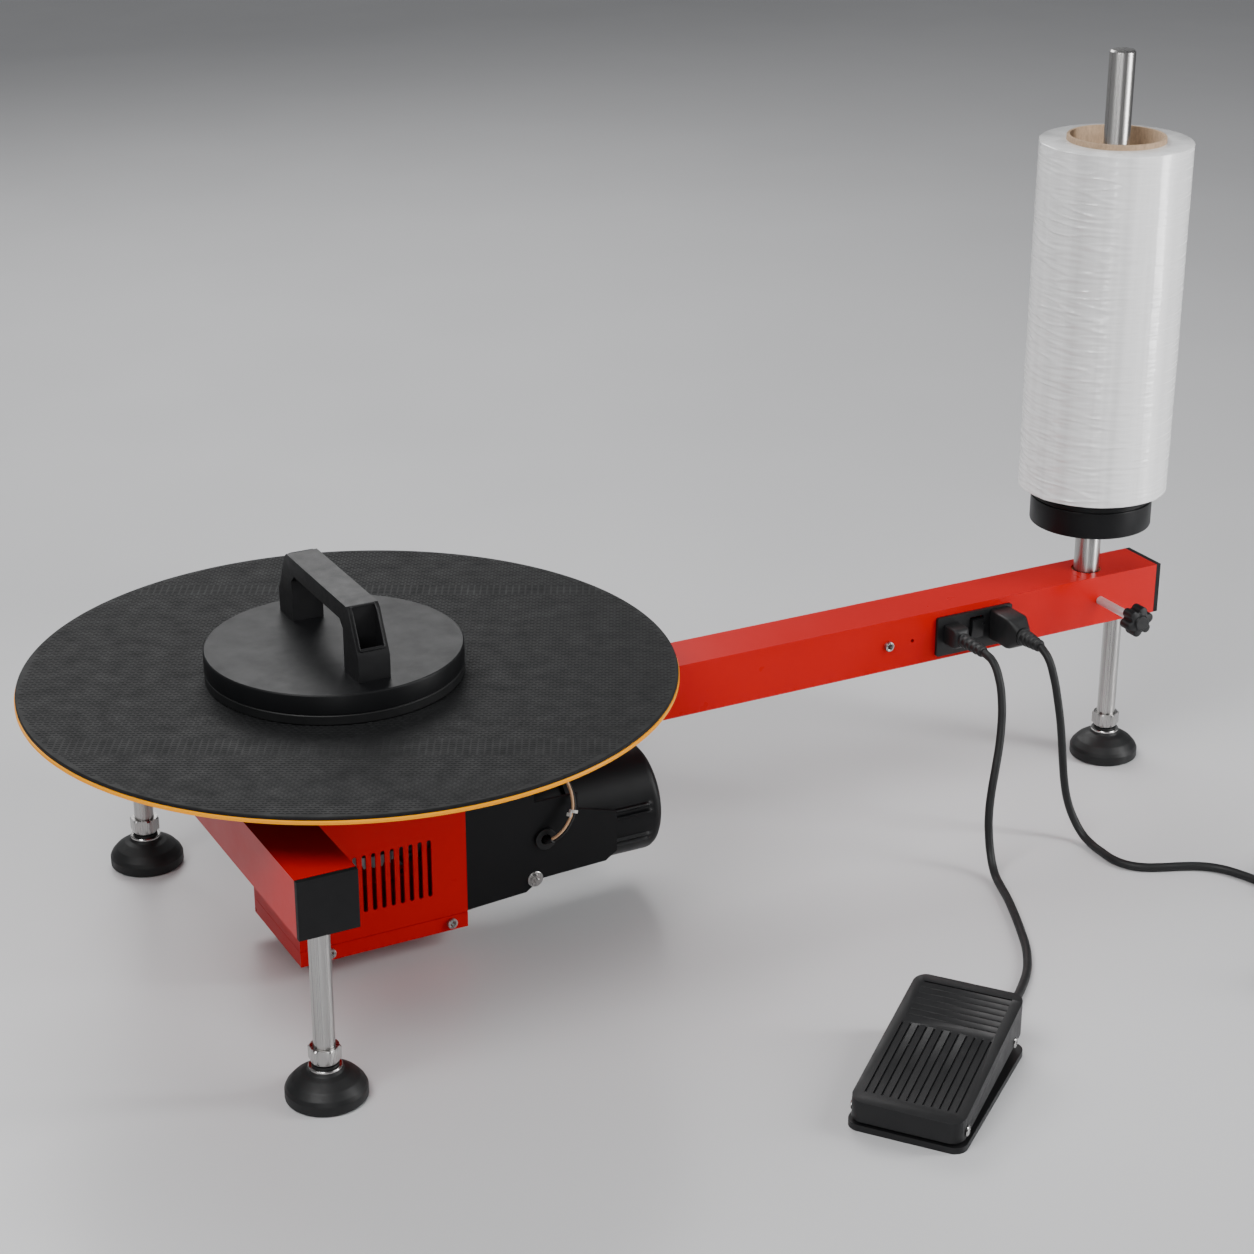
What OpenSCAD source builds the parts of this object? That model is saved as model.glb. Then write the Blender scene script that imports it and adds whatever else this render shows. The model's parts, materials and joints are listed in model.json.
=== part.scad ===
// Turntable pallet wrapper: a motor-driven turntable on a red steel frame,
// with a film roll on a post at the far end of the arm and a foot pedal.
// +Z is up and the arm runs along +X. Every piece is drawn about the
// turntable's axis on the floor, and place() moves it to the part's origin.

/* [Frame] */
// Outside width of the square tubes
beam_side = 45; // [42:1:54]
// Wall of the square tubes
beam_wall = 2; // [1.5:0.5:3]
// Floor to the underside of the tubes
beam_under = 142; // [130:1:175]
// Turntable axis to the open end of the arm
arm_reach = 752; // [690:1:905]
// Length of the cross beam without its caps
cross_length = 438; // [360:2:530]
// Turntable axis to the centre of the cross beam
cross_offset = 110; // [100:1:135]
// Thickness of the end caps
cap_thick = 4.5; // [3:0.5:6]

/* [Feet] */
// Diameter of a rubber foot
foot_d = 60; // [50:1:72]
// Height of a rubber foot
foot_h = 25; // [22:1:28]
// Diameter of a leg rod
leg_d = 16; // [13:0.5:20]
// Width across the flats of a leg's adjusting hexagon
leg_hex = 21; // [18:0.5:26]
// Tube end to the centre of the foot below it
foot_inset = 18; // [14:1:30]

/* [Turntable] */
// Diameter of the turntable
table_d = 500; // [400:5:600]
// Thickness of the turntable plate
plate_thick = 4; // [3:0.5:6]
// Thickness of the rubber mat
mat_thick = 3; // [2:0.5:4]
// Top of the arm to the underside of the turntable plate
table_gap = 38; // [34:1:50]
// Diameter of the hub flange
hub_d = 110; // [90:2:140]
// Diameter of the spindle
spindle_d = 15; // [12:0.5:17]
// Outside diameter of the spindle bearings
bearing_d = 32; // [30:0.5:34]
// Width of a spindle bearing
bearing_w = 9; // [7:0.5:12]

/* [Drive] */
// Length of the drive casing along the arm
case_length = 140; // [120:2:170]
// Width of the drive casing across the arm
case_width = 100; // [96:2:130]
// Floor to the underside of the casing's tray
case_floor = 16; // [10:1:24]
// Height of the tray
tray_height = 13; // [11:0.5:18]
// Sheet thickness of the casing and the tray
sheet = 1.5; // [1:0.5:2.5]
// Number of louvre slots in the casing's front
louvre_count = 9; // [5:1:10]
// Spacing of the louvre slots
louvre_pitch = 7.7; // [6.5:0.1:9]
// Width of a louvre slot
louvre_width = 3.6; // [2.5:0.1:4.5]
// Height of the motor and pinion axis above the floor
motor_z = 70; // [66:1:80]
// Diameter of the motor
motor_d = 90; // [76:1:92]
// Length of the motor from the bracket to its rounded end
motor_length = 176; // [150:1:200]
// Thickness of the motor bracket
bracket_thick = 3; // [2:0.5:5]
// Gear module
gear_module = 2; // [2:0.5:2]
// Teeth on the motor's pinion
pinion_teeth = 12; // [12:1:12]
// Teeth on the crown gear
crown_teeth = 36; // [36:12:36]

/* [Film] */
// Turntable axis to the film post
film_x = 692; // [640:1:840]
// Diameter of the film post
post_d = 22; // [18:0.5:26]
// Floor to the top of the film post
post_top = 639; // [600:1:760]
// Width of the film on its core
film_width = 300; // [250:5:350]
// Outside diameter of the film
film_d = 128; // [104:1:154]
// Outside diameter of the cardboard core
core_d = 82; // [76:1:90]
// Wall of the cardboard core
core_wall = 3; // [2:0.5:5]
// Diameter of the spool flange
spool_d = 104; // [96:1:124]
// Height of the spool flange
spool_h = 28; // [20:1:34]
// Top of the arm to the underside of the spool flange
spool_gap = 46; // [38:1:60]

/* [Brake knob] */
// Diameter of the knob's screw
knob_screw_d = 7.5; // [6:0.5:9]
// Diameter of the star knob
knob_d = 27; // [24:1:34]
// Arm face to the back of the star knob
knob_standoff = 42; // [36:1:52]

/* [Connection panel] */
// Turntable axis to the centre of the panel
panel_x = 558; // [540:1:600]
// Length of the panel
panel_length = 76; // [76:1:90]
// Height of the panel
panel_height = 35; // [33:1:40]
// Thickness of the panel
panel_thick = 3; // [2:0.5:5]

/* [Press weight] */
// Diameter of the press weight
weight_d = 196; // [180:2:240]
// Thickness of the weight's steel plate
weight_thick = 16; // [12:1:24]
// Thickness of the weight's rubber pad
pad_thick = 8; // [5:1:12]
// Length of the handle
handle_length = 160; // [150:2:176]
// Width of the handle
handle_width = 25; // [22:1:32]
// Height of the handle above the plate
handle_height = 53; // [48:1:64]

/* [Foot pedal] */
// Length of the pedal
pedal_length = 150; // [140:2:182]
// Width of the pedal
pedal_width = 87; // [80:1:106]
// Height of the pedal at its low front end
pedal_front = 23; // [22:0.5:28]
// Height of the pedal at its high rear end
pedal_rear = 47; // [45:0.5:56]

/* [Hidden] */
$fn = 64;

// Clearances
run_fit = 0.05;      // radial clearance of a shaft in its bore
gap = 0.3;           // between pieces that move past each other
slip = 0.2;          // between pieces that are pushed together
e = 0.01;            // cutters run past a face by this much

// Paint and material colours
red = [0.78, 0.03, 0.02];
black = [0.05, 0.05, 0.055];
rubber = [0.06, 0.06, 0.065];
steel = [0.75, 0.75, 0.76];
brass = [0.72, 0.58, 0.32];

// Heights of the frame and the turntable
beam_top = beam_under + beam_side;
beam_mid = beam_under + beam_side / 2;
bore_in = beam_side - 2 * beam_wall;
plate_z = beam_top + table_gap;
mat_z = plate_z + plate_thick;
table_top = mat_z + mat_thick;
table_r = table_d / 2;

// Arm and cross beam
arm_start = -cross_offset + beam_side / 2;
arm_end = arm_reach + cap_thick;
cross_end = cross_length / 2;

// Feet
foot_y = cross_end - foot_inset;
foot_right_x = arm_reach - foot_inset - 8;
ball_d = 14;
ball_z = 16;
swivel_top = foot_h + 3;
hex_low = swivel_top + 2.5;
hex_high = hex_low + 11.5;
leg_inside = 38;
collar_h = 7;
collar_lip = 20;
plug_depth = foot_inset - collar_lip / 2 - 1;

// Spindle and its bearings
housing_d = bearing_d + 6;
housing_flange_d = housing_d + 30;
housing_flange_h = 6;
housing_top = beam_top + housing_flange_h;
housing_screw_r = housing_d / 2 + 8;
hub_low = housing_top + 3;
hub_flange_h = 6;
hub_boss_d = spindle_d * 2 + 14;
hub_pcd = hub_d - 28;
ring_wall = 1.9;
ball_bearing_d = (bearing_d - spindle_d) / 2 - 2 * ring_wall - 2 * gap / 2;

// Gears: the crown's teeth point down and mesh with the pinion's top
pinion_r = gear_module * pinion_teeth / 2;
crown_r = gear_module * crown_teeth / 2;
face_width = 8;
addendum = 1.3;
tooth_root = 1.9;
tooth_mid = gear_module * PI / 2 - 0.7;
tooth_slope = 0.5;
mesh_z = motor_z + pinion_r;
crown_low = mesh_z + tooth_root;
crown_thick = 7;
crown_hub_h = 12;
pinion_hub = 10;
shaft_d = 10;

// Drive casing and motor
case_x = case_length / 2;
case_y = case_width / 2;
case_low = case_floor + tray_height;
case_seam = 0.4;
louvre_low = 50;
louvre_high = 99;
louvre_x = 6.5;
screw_x = [-case_x + 24, case_x - 14];
bracket_x = case_x + bracket_thick;
bracket_plate_end = bracket_x + 129;
bell_length = 84;
can_d = motor_d - 6;
can_wall = 4;
rotor_d = can_d * 0.6;
motor_end = bracket_x + motor_length;
motor_lug_x = bracket_x + 56;
bracket_bolt_x = [20, 42];
motor_lug_z = 43;
grommet_x = bracket_x + 65;
grommet_z = 77;
arm_grommet_x = bracket_x + 72;
arm_grommet_y = -12;
cable_d = 6;

// Film post
sleeve_d = post_d + 8;
bush_d = post_d + 4;
bush_h = 15;
post_low = beam_under + 4;
spool_low = beam_top + spool_gap;
spool_high = spool_low + spool_h;
spigot_d = core_d - 2 * core_wall - 1;
spigot_h = 38;
post_step = spool_high + spigot_h;
shank_d = post_d - 0.4;
core_length = film_width + 8;
core_low = spool_high + gap;
film_low = core_low + 4;

// Brake knob
knob_axis_z = beam_mid;
pad_d = 7;
pad_length = 3;
pad_face = post_d / 2 + gap;
knob_back = beam_side / 2 + knob_standoff;
knob_h = 18;
lobe_r = 4.2;
weld_nut_d = 16;

// Connection panel
panel_z = beam_under + 21.5;
face_y = -beam_side / 2;
panel_face = face_y - panel_thick;
jack_x = panel_x - 24;
switch_x = panel_x + 1.5;
inlet_x = panel_x + 25;
jack_z = beam_under + 24;
inlet_w = 20;
inlet_h = 27;
inlet_depth = 20;
connector_y = panel_face - 27;
relief_y = -86;
jack_w = 15;
jack_h = 17;
jack_relief_y = -74;
rocker_tilt = 6;
arm_screw_x = 473;
screw_d = 5;
screw_head_d = 8.5;
screw_head_h = 3;

// Press weight, standing a little off the middle of the table
weight_x = -12.5;
weight_y = -1;
weight_low = table_top + gap;
weight_mid = weight_low + pad_thick;
weight_top = weight_mid + weight_thick;
weight_r = weight_d / 2;
leg_len = 28;
bar_thick = 14;
handle_slope = 16;
handle_screw_y = handle_length / 2 - 11;

// Foot pedal: placed about its middle, toe to the front
pedal_x = 280;
pedal_y = -396;
pedal_turn = 38;
pedal_corner = 10;
pedal_plate = 5;
pl = pedal_length / 2;
pw = pedal_width / 2;
skirt_low_front = 7;
skirt_low_rear = 20;
skirt_wall = 3;
skirt_in = 2;
pivot_u = -pl + 13;
pivot_z = 13;
pivot_d = 5;
base_wall = 3;
base_gap = 2.5;
gland_v = -12;
gland_z = 11;
gland_out = pl + 17;
spring_u = pl - 35;
spring_d = 12;
spring_seat_z = 16;
spring_wire = 1.4;
stop_u = pl - 25;
stop_z = 20.5;

// Part origin: the middle of the object's footprint, on the floor
pedal_low_y = pedal_y - (pl - pedal_corner) * sin(pedal_turn)
            - (pw - pedal_corner) * cos(pedal_turn) - pedal_corner;
origin_x = (arm_end - table_r) / 2;
origin_y = (table_r + pedal_low_y) / 2;

// Cords
cord_d = 7;
cord_r = cord_d / 2;
coil_x = 735;
coil_y = -292;
coil_mean = 38;
coil_wide = 3;
coil_layers = 2;
plug_x = 655;
plug_y = -380;
plug_z = 13;
plug_turn = 225;

// Route of the mains cord from its connector to the coil
mains_route = [
  [583, -86, 166], [583.5, -97, 159], [584.5, -105, 144], [586.5, -109, 126],
  [588.5, -112, 107], [590, -114, 88], [591.5, -115.5, 69], [593.5, -117, 50],
  [596.5, -119.5, 33], [600.5, -125, 17.5], [603, -134, 7.5], [603.5, -147, 3.6],
  [602.5, -162, 3.6], [602.5, -176, 3.6], [606.5, -189, 3.6], [616, -199.5, 3.6],
  [630, -207, 3.6], [646, -213.5, 3.6], [660, -221, 3.6], [671, -231.5, 3.6],
  [678.5, -245, 3.6], [684, -260, 3.6], [688.5, -276, 3.6], [690, -292, 3.6]
];
// Route of its tail from the coil to the mains plug
tail_route = [
  [690, -292, 10.5], [690, -308, 8], [688.5, -324, 5], [684.5, -339, 3.6],
  [677.5, -353, 5], [667.5, -366, 9], [655, -380, 13]
];
// Route of the pedal cord from its plug to the pedal
pedal_route = [
  [534, -74, 166], [534.2, -87, 162.5], [533.5, -98, 150.5], [531.5, -106, 134],
  [528, -112, 117], [522.5, -118, 100], [516, -123.5, 83], [510, -128, 65],
  [506, -132, 47], [504, -136.5, 30], [501.5, -144.5, 15], [497.5, -156.5, 6],
  [492.5, -172, 3.6], [486, -190, 3.6], [478.5, -208, 3.6], [470.5, -226, 3.6],
  [462, -244, 3.6], [453, -262, 3.6], [442.5, -279, 3.6], [430.5, -295, 3.6],
  [416, -310, 3.6], [401, -323.5, 4.4], [387, -333.5, 7], [373.5, -341.5, 9.8],
  [359.9, -348.8, 11]
];
// Route of the motor's cable: out of the bracket, over its edge and up into the arm
motor_route = [
  [138, -45, 77], [138, -52, 77], [140, -57, 79], [146, -60, 84.5],
  [153, -60.5, 92], [158, -59, 101], [160, -55, 110], [160.5, -49, 117],
  [159, -41, 124], [155, -32, 128], [150, -23, 131], [146.5, -15.5, 134],
  [145, -12.2, 139], [145, -12, 145], [146, -11, 152], [152, -9, 159],
  [166, -8, 163], [350, -8, 163], [530, -8, 163]
];

// ---- Helpers ----

module place() translate([-origin_x, -origin_y, 0]) children();

// A straight bar along X or Y between two stations
module rod_x(d, x0, x1, y = 0, z = 0)
  translate([x0, y, z]) rotate([0, 90, 0]) cylinder(d = d, h = x1 - x0);
module rod_y(d, y0, y1, x = 0, z = 0)
  translate([x, y1, z]) rotate([90, 0, 0]) cylinder(d = d, h = y1 - y0);

// A vertical pipe
module pipe(od, id, h) difference() {
  cylinder(d = od, h = h);
  translate([0, 0, -e]) cylinder(d = id, h = h + 2 * e);
}

module rounded_rect(w, h, r) {
  square([w - 2 * r, h], center = true);
  square([w, h - 2 * r], center = true);
  for (i = [-1, 1], j = [-1, 1])
    translate([i * (w / 2 - r), j * (h / 2 - r)]) circle(r = r);
}

// A block with rounded corners whose outline lies in the XZ plane
module panel_block(x, z, w, h, r, y0, y1)
  translate([x, y1, z]) rotate([90, 0, 0]) linear_extrude(y1 - y0) rounded_rect(w, h, r);

// A button head screw with a hexagon socket, head up, its seat at z = 0
module socket_screw(d = screw_d, head_d = screw_head_d, head_h = screw_head_h, shank = 10)
  difference() {
    union() {
      cylinder(d = head_d, h = head_h);
      translate([0, 0, -shank]) cylinder(d = d, h = shank + e);
    }
    translate([0, 0, head_h * 0.4]) cylinder(d = head_d * 0.5, h = head_h, $fn = 6);
  }

function unit(v) = v / norm(v);
function path_tangents(p) = [for (i = [0 : len(p) - 1])
  unit(p[min(i + 1, len(p) - 1)] - p[max(i - 1, 0)])];
// One normal per point, carried along the path without twist
function path_normals(t, first) = [
  for (i = 0, n = unit(first - (first * t[0]) * t[0]); i < len(t);
       i = i + 1, n = i < len(t) ? unit(n - (n * t[i]) * t[i]) : n) n];
// A round tube along a path, closed at both ends
module sweep(p, r, sides = 8, first = [1, 0.2, 0.1]) {
  t = path_tangents(p);
  n = path_normals(t, first);
  points = [for (i = [0 : len(p) - 1], k = [0 : sides - 1])
    p[i] + r * (cos(360 * k / sides) * n[i] + sin(360 * k / sides) * cross(t[i], n[i]))];
  walls = [for (i = [0 : len(p) - 2], k = [0 : sides - 1])
    let (a = i * sides + k, b = i * sides + (k + 1) % sides)
    [a, a + sides, b + sides, b]];
  last = (len(p) - 1) * sides;
  caps = [[for (k = [0 : sides - 1]) k], [for (k = [sides - 1 : -1 : 0]) last + k]];
  polyhedron(points = points, faces = concat(walls, caps), convexity = 8);
}

// ---- Frame ----

module square_tube(length) difference() {
  translate([0, -beam_side / 2, beam_under]) cube([length, beam_side, beam_side]);
  translate([-e, -bore_in / 2, beam_under + beam_wall]) cube([length + 2 * e, bore_in, bore_in]);
}

// A hole straight down through the tube
module drop_hole(x, y, d, low = beam_under - 1, high = beam_top + 1)
  translate([x, y, low]) cylinder(d = d, h = high - low);

module long_arm() place() color(red) {
  difference() {
    translate([arm_start, 0, 0]) square_tube(arm_reach - arm_start);
    drop_hole(0, 0, housing_d + 2 * slip);
    for (i = [-1, 1]) drop_hole(i * housing_screw_r, 0, screw_d + slip, beam_mid);
    for (i = bracket_bolt_x) drop_hole(bracket_x + i, 0, screw_d, high = beam_mid);
    drop_hole(film_x, 0, sleeve_d);
    drop_hole(foot_right_x, 0, leg_d + 1, high = beam_mid);
    drop_hole(arm_grommet_x, arm_grommet_y, cable_d + 4, high = beam_mid);
    rod_y(weld_nut_d, -beam_side, -bore_in / 2 + e, film_x, knob_axis_z);
    rod_y(screw_d, -beam_side, 0, arm_screw_x, beam_mid);
    rod_y(screw_d - 2, -beam_side, 0, arm_screw_x + 24, beam_mid);
    panel_block(jack_x, jack_z, jack_w + 1, jack_h + 1, 1, -beam_side, 0);
    panel_block(switch_x, jack_z, 15, 21, 1, -beam_side, 0);
    panel_block(inlet_x, jack_z, inlet_w + 1, inlet_h + 1, 2, -beam_side, 0);
  }
  post_sleeve();
}

// Sleeve welded through the arm for the film post, with the brake screw's nut
module post_sleeve() difference() {
  union() {
    translate([film_x, 0, beam_under]) cylinder(d = sleeve_d, h = beam_side);
    rod_y(weld_nut_d, face_y, -sleeve_d / 2 + 3, film_x, knob_axis_z);
  }
  translate([film_x, 0, post_low - 1]) cylinder(d = bush_d, h = beam_side);
  rod_y(knob_screw_d + 2 * run_fit, -beam_side, 0, film_x, knob_axis_z);
}

module cross_beam() place() color(red) difference() {
  translate([-cross_offset, 0, 0]) rotate(90) translate([-cross_end, 0, 0])
    square_tube(cross_length);
  for (i = [-1, 1]) drop_hole(-cross_offset, i * foot_y, leg_d + 1, high = beam_mid);
}

// A square cap pushed into the open end of a tube, facing +X
module tube_cap() {
  translate([0, -beam_side / 2, beam_under]) cube([cap_thick, beam_side, beam_side]);
  difference() {
    translate([-plug_depth, -bore_in / 2 + slip, beam_under + beam_wall + slip])
      cube([plug_depth + e, bore_in - 2 * slip, bore_in - 2 * slip]);
    translate([-plug_depth - e, -bore_in / 2 + 3, beam_under + beam_wall + 3])
      cube([plug_depth - 1, bore_in - 6, bore_in - 6]);
  }
}

module tube_caps() place() color(black) {
  translate([arm_reach, 0, 0]) tube_cap();
  for (i = [-1, 1])
    translate([-cross_offset, i * cross_end, 0]) rotate(i * 90) tube_cap();
}

// The same screw holds the tray, the bearing housing and the arm's earth point
module frame_screws() place() color(steel) {
  for (x = screw_x, i = [-1, 1])
    translate([x, i * case_y, case_floor + tray_height / 2]) rotate([-i * 90, 0, 0])
      socket_screw(shank = sheet + 1.5);
  for (i = [-1, 1])
    translate([i * housing_screw_r, 0, housing_top]) socket_screw(shank = housing_flange_h + beam_wall);
  translate([arm_screw_x, face_y, beam_mid]) rotate([90, 0, 0]) socket_screw(shank = 8);
}

module leg_collar() difference() {
  union() {
    cylinder(d1 = leg_d + 3, d2 = collar_lip + 2, h = collar_h - 2);
    translate([0, 0, collar_h - 2]) cylinder(d = collar_lip + 2, h = 2);
    translate([0, 0, collar_h]) cylinder(d = leg_d + 1, h = beam_wall);
    translate([0, 0, collar_h + beam_wall]) cylinder(d = collar_lip, h = leg_inside - 10);
  }
  translate([0, 0, -e]) cylinder(d = leg_d + 2 * run_fit, h = beam_side + collar_h);
}

// Threaded collars through the tubes' lower walls
module leg_collars() place() color(steel)
  for (p = [[-cross_offset, -foot_y], [-cross_offset, foot_y], [foot_right_x, 0]])
    translate([p[0], p[1], beam_under - collar_h]) leg_collar();

// ---- Levelling legs ----

module leg() {
  translate([0, 0, hex_high - e]) cylinder(d = leg_d, h = beam_under + leg_inside - hex_high - 6);
  translate([0, 0, hex_low]) cylinder(d = leg_hex / cos(30), h = hex_high - hex_low, $fn = 6);
  translate([0, 0, ball_z]) cylinder(d = 9, h = hex_low - ball_z + e);
  translate([0, 0, ball_z]) sphere(d = ball_d);
}

// Rubber foot around its swivel cup, with the bright ring at the top
module foot() difference() {
  union() {
    rotate_extrude() polygon([
      [0, 0], [foot_d / 2 - 2, 0], [foot_d / 2, 2], [foot_d / 2, 9], [foot_d / 2 - 2.5, 12.5],
      [foot_d / 2 - 7, 16.5], [foot_d / 2 - 13, 20.5], [12.5, foot_h - 1.5], [11.5, foot_h],
      [0, foot_h]]);
    translate([0, 0, foot_h - e]) cylinder(d = 20, h = swivel_top - foot_h + e);
  }
  translate([0, 0, ball_z]) sphere(d = ball_d + 2 * gap);
  translate([0, 0, ball_z]) cylinder(d1 = 10.5, d2 = 15, h = swivel_top - ball_z + e);
}

module leg_front() place() color(steel) translate([-cross_offset, -foot_y, 0]) leg();
module leg_rear() place() color(steel) translate([-cross_offset, foot_y, 0]) leg();
module leg_right() place() color(steel) translate([foot_right_x, 0, 0]) leg();
module foot_front() place() color(rubber) translate([-cross_offset, -foot_y, 0]) foot();
module foot_rear() place() color(rubber) translate([-cross_offset, foot_y, 0]) foot();
module foot_right() place() color(rubber) translate([foot_right_x, 0, 0]) foot();

// ---- Turntable ----

module bearing_housing() place() color(steel) difference() {
  union() {
    translate([0, 0, beam_under]) cylinder(d = housing_d, h = beam_side);
    translate([0, 0, beam_top]) cylinder(d = housing_flange_d, h = housing_flange_h);
  }
  translate([0, 0, beam_under - e]) cylinder(d = bearing_d, h = bearing_w + e);
  translate([0, 0, beam_under]) cylinder(d = bearing_d - 5, h = beam_side);
  translate([0, 0, housing_top - bearing_w]) cylinder(d = bearing_d, h = bearing_w + e);
  for (i = [-1, 1])
    translate([i * housing_screw_r, 0, beam_top - e]) cylinder(d = screw_d, h = housing_flange_h + 1);
}

// Drawn at each of the two spindle bearings
module at_bearings() for (z = [beam_under, housing_top - bearing_w]) translate([0, 0, z]) children();

module spindle_bearings() place() color(steel) at_bearings() {
  pipe(bearing_d, bearing_d - 2 * ring_wall, bearing_w);
  for (a = [0 : 45 : 315])
    rotate(a) translate([(bearing_d + spindle_d) / 4, 0, bearing_w / 2])
      sphere(d = ball_bearing_d, $fn = 24);
}

module bearing_inner_rings() place() color(steel) at_bearings()
  pipe(spindle_d + 2 * ring_wall, spindle_d, bearing_w);

module spindle() place() color(steel) {
  translate([0, 0, crown_low]) cylinder(d = spindle_d, h = plate_z - hub_flange_h - crown_low);
  translate([0, 0, housing_top]) cylinder(d = spindle_d + 2 * ring_wall + 2, h = hub_low - housing_top);
}

module hub_flange() place() color(steel) difference() {
  union() {
    translate([0, 0, hub_low]) cylinder(d = hub_boss_d, h = plate_z - hub_low - e);
    translate([0, 0, plate_z - hub_flange_h]) cylinder(d = hub_d, h = hub_flange_h);
  }
  translate([0, 0, hub_low - e]) cylinder(d = spindle_d, h = plate_z - hub_flange_h - hub_low + e);
  for (a = [45 : 90 : 315])
    rotate(a) translate([hub_pcd / 2, 0, plate_z - hub_flange_h - 1]) cylinder(d = screw_d, h = 10);
}

module hub_screws() place() color(steel)
  for (a = [45 : 90 : 315])
    rotate(a) translate([hub_pcd / 2, 0, plate_z - hub_flange_h]) rotate([180, 0, 0])
      socket_screw(shank = hub_flange_h + plate_thick - 1);

module turntable_plate() place() color(black) translate([0, 0, plate_z]) difference() {
  cylinder(r = table_r - 2, h = plate_thick, $fn = 128);
  for (a = [45 : 90 : 315]) rotate(a) translate([hub_pcd / 2, 0, -e]) cylinder(d = screw_d, h = plate_thick - 1);
}

module edge_trim() place() color([0.95, 0.6, 0.1]) translate([0, 0, plate_z - 0.5])
  pipe(table_d, table_d - 4, plate_thick + 0.5, $fn = 128);

module turntable_mat() place() color(rubber) translate([0, 0, mat_z])
  cylinder(r = table_r - 0.8, h = mat_thick, $fn = 128);

// ---- Drive ----

// A gear tooth's outline: wide at the root, narrower at the tip, along +Y
module tooth_outline(low, high) polygon([
  [-tooth_mid / 2 + low * tooth_slope / 2, low], [tooth_mid / 2 - low * tooth_slope / 2, low],
  [tooth_mid / 2 - high * tooth_slope / 2, high], [-tooth_mid / 2 + high * tooth_slope / 2, high]]);

module crown_gear() place() color(steel) difference() {
  union() {
    translate([0, 0, crown_low]) cylinder(r = crown_r + face_width / 2 + 1, h = crown_thick);
    translate([0, 0, crown_low]) cylinder(d = spindle_d + 13, h = crown_hub_h + crown_thick);
    for (i = [0 : crown_teeth - 1])
      rotate((i + 0.5) * 360 / crown_teeth)
        translate([crown_r + face_width / 2, 0, mesh_z]) rotate([-90, 0, 90])
          linear_extrude(face_width) tooth_outline(-tooth_root - 0.2, addendum);
  }
  translate([0, 0, crown_low - e]) cylinder(d = spindle_d, h = crown_hub_h + crown_thick + 2 * e);
}

module drive_pinion() place() color(steel) difference() {
  union() {
    rod_x(2 * (pinion_r - tooth_root), crown_r - face_width / 2, crown_r + face_width / 2, z = motor_z);
    rod_x(2 * (pinion_r - tooth_root), crown_r + face_width / 2 - e,
          crown_r + face_width / 2 + pinion_hub, z = motor_z);
    for (i = [0 : pinion_teeth - 1])
      translate([crown_r - face_width / 2, 0, motor_z]) rotate([i * 360 / pinion_teeth, 0, 0])
        translate([0, 0, pinion_r]) rotate([90, 0, 90])
          linear_extrude(face_width) tooth_outline(-tooth_root - 0.3, addendum);
  }
  rod_x(shaft_d, 0, bracket_x, z = motor_z);
}

// Sheet casing under the arm, open at the bottom
module drive_casing() place() color(red) difference() {
  translate([-case_x, -case_y, case_low]) cube([case_length, case_width, beam_under - case_low]);
  translate([-case_x + sheet, -case_y + sheet, case_low - e])
    cube([case_length - 2 * sheet, case_width - 2 * sheet, beam_under - case_low - sheet]);
  drop_hole(0, 0, housing_d - 2, low = case_low);
  for (i = [0 : louvre_count - 1]) let (x = louvre_x + (i - (louvre_count - 1) / 2) * louvre_pitch + 1.5)
    panel_block(x, (louvre_low + louvre_high) / 2, louvre_width, louvre_high - louvre_low,
                louvre_width / 2 - e, -case_y - 1, -case_y + 4);
  rod_x(motor_d * 0.45, case_x - 5, case_x + 5, z = motor_z);
}

module casing_tray() place() color(red) difference() {
  union() {
    translate([-case_x, -case_y, case_floor]) cube([case_length, case_width, tray_height - case_seam]);
    translate([-case_x + sheet + slip, -case_y + sheet + slip, case_floor])
      cube([case_length - 2 * (sheet + slip), case_width - 2 * (sheet + slip), tray_height + 6]);
  }
  translate([-case_x + 2 * sheet + slip, -case_y + 2 * sheet + slip, case_floor + sheet])
    cube([case_length - 4 * sheet - 2 * slip, case_width - 4 * sheet - 2 * slip, tray_height + 10]);
  for (x = screw_x) rod_y(screw_d, -case_y - 1, case_y + 1, x, case_floor + tray_height / 2);
}

module motor_bracket() place() color(black) {
  difference() {
    union() {
      translate([0, -case_y + bracket_thick, 0]) rotate([90, 0, 0]) linear_extrude(bracket_thick)
        polygon([
          [case_x, case_low + 1], [motor_lug_x - 8, case_low + 4], [motor_lug_x - 2, case_low + 8],
          [motor_lug_x + 4, 42], [bracket_plate_end - 10, 44], [bracket_plate_end, 51],
          [bracket_plate_end, 86], [bracket_x + 94, 96], [bracket_x + 94, 110],
          [motor_lug_x, 110], [motor_lug_x, beam_under], [case_x, beam_under]]);
      translate([case_x, -case_y, case_low + 1])
        cube([bracket_thick, case_width - 4, beam_under - case_low - 1]);
      translate([case_x, -case_y, beam_under - bracket_thick])
        cube([bracket_thick + 52, case_y + beam_side / 2, bracket_thick]);
    }
    rod_y(11, -case_y - 1, -case_y + 5, grommet_x, grommet_z);
    rod_y(screw_d + 1, -case_y - 1, -case_y + 5, motor_lug_x, motor_lug_z);
    rod_x(motor_d * 0.4 + 2 * slip, case_x - 1, bracket_x + 1, z = motor_z);
    motor_bolt_circle() rod_x(screw_d, case_x - 1, bracket_x + 1);
    for (i = bracket_bolt_x) drop_hole(bracket_x + i, 0, screw_d, low = beam_under - 10);
  }
}

// Drawn at each of the four bolts between the bracket and the motor
module motor_bolt_circle() for (a = [45 : 90 : 315])
  translate([0, cos(a) * can_d * 0.4, motor_z + sin(a) * can_d * 0.4]) children();

module hex_bolt(d, shank) {
  cylinder(d = d * 1.9, h = d * 0.6, $fn = 6);
  translate([0, 0, -shank]) cylinder(d = d, h = shank + e);
}

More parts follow.
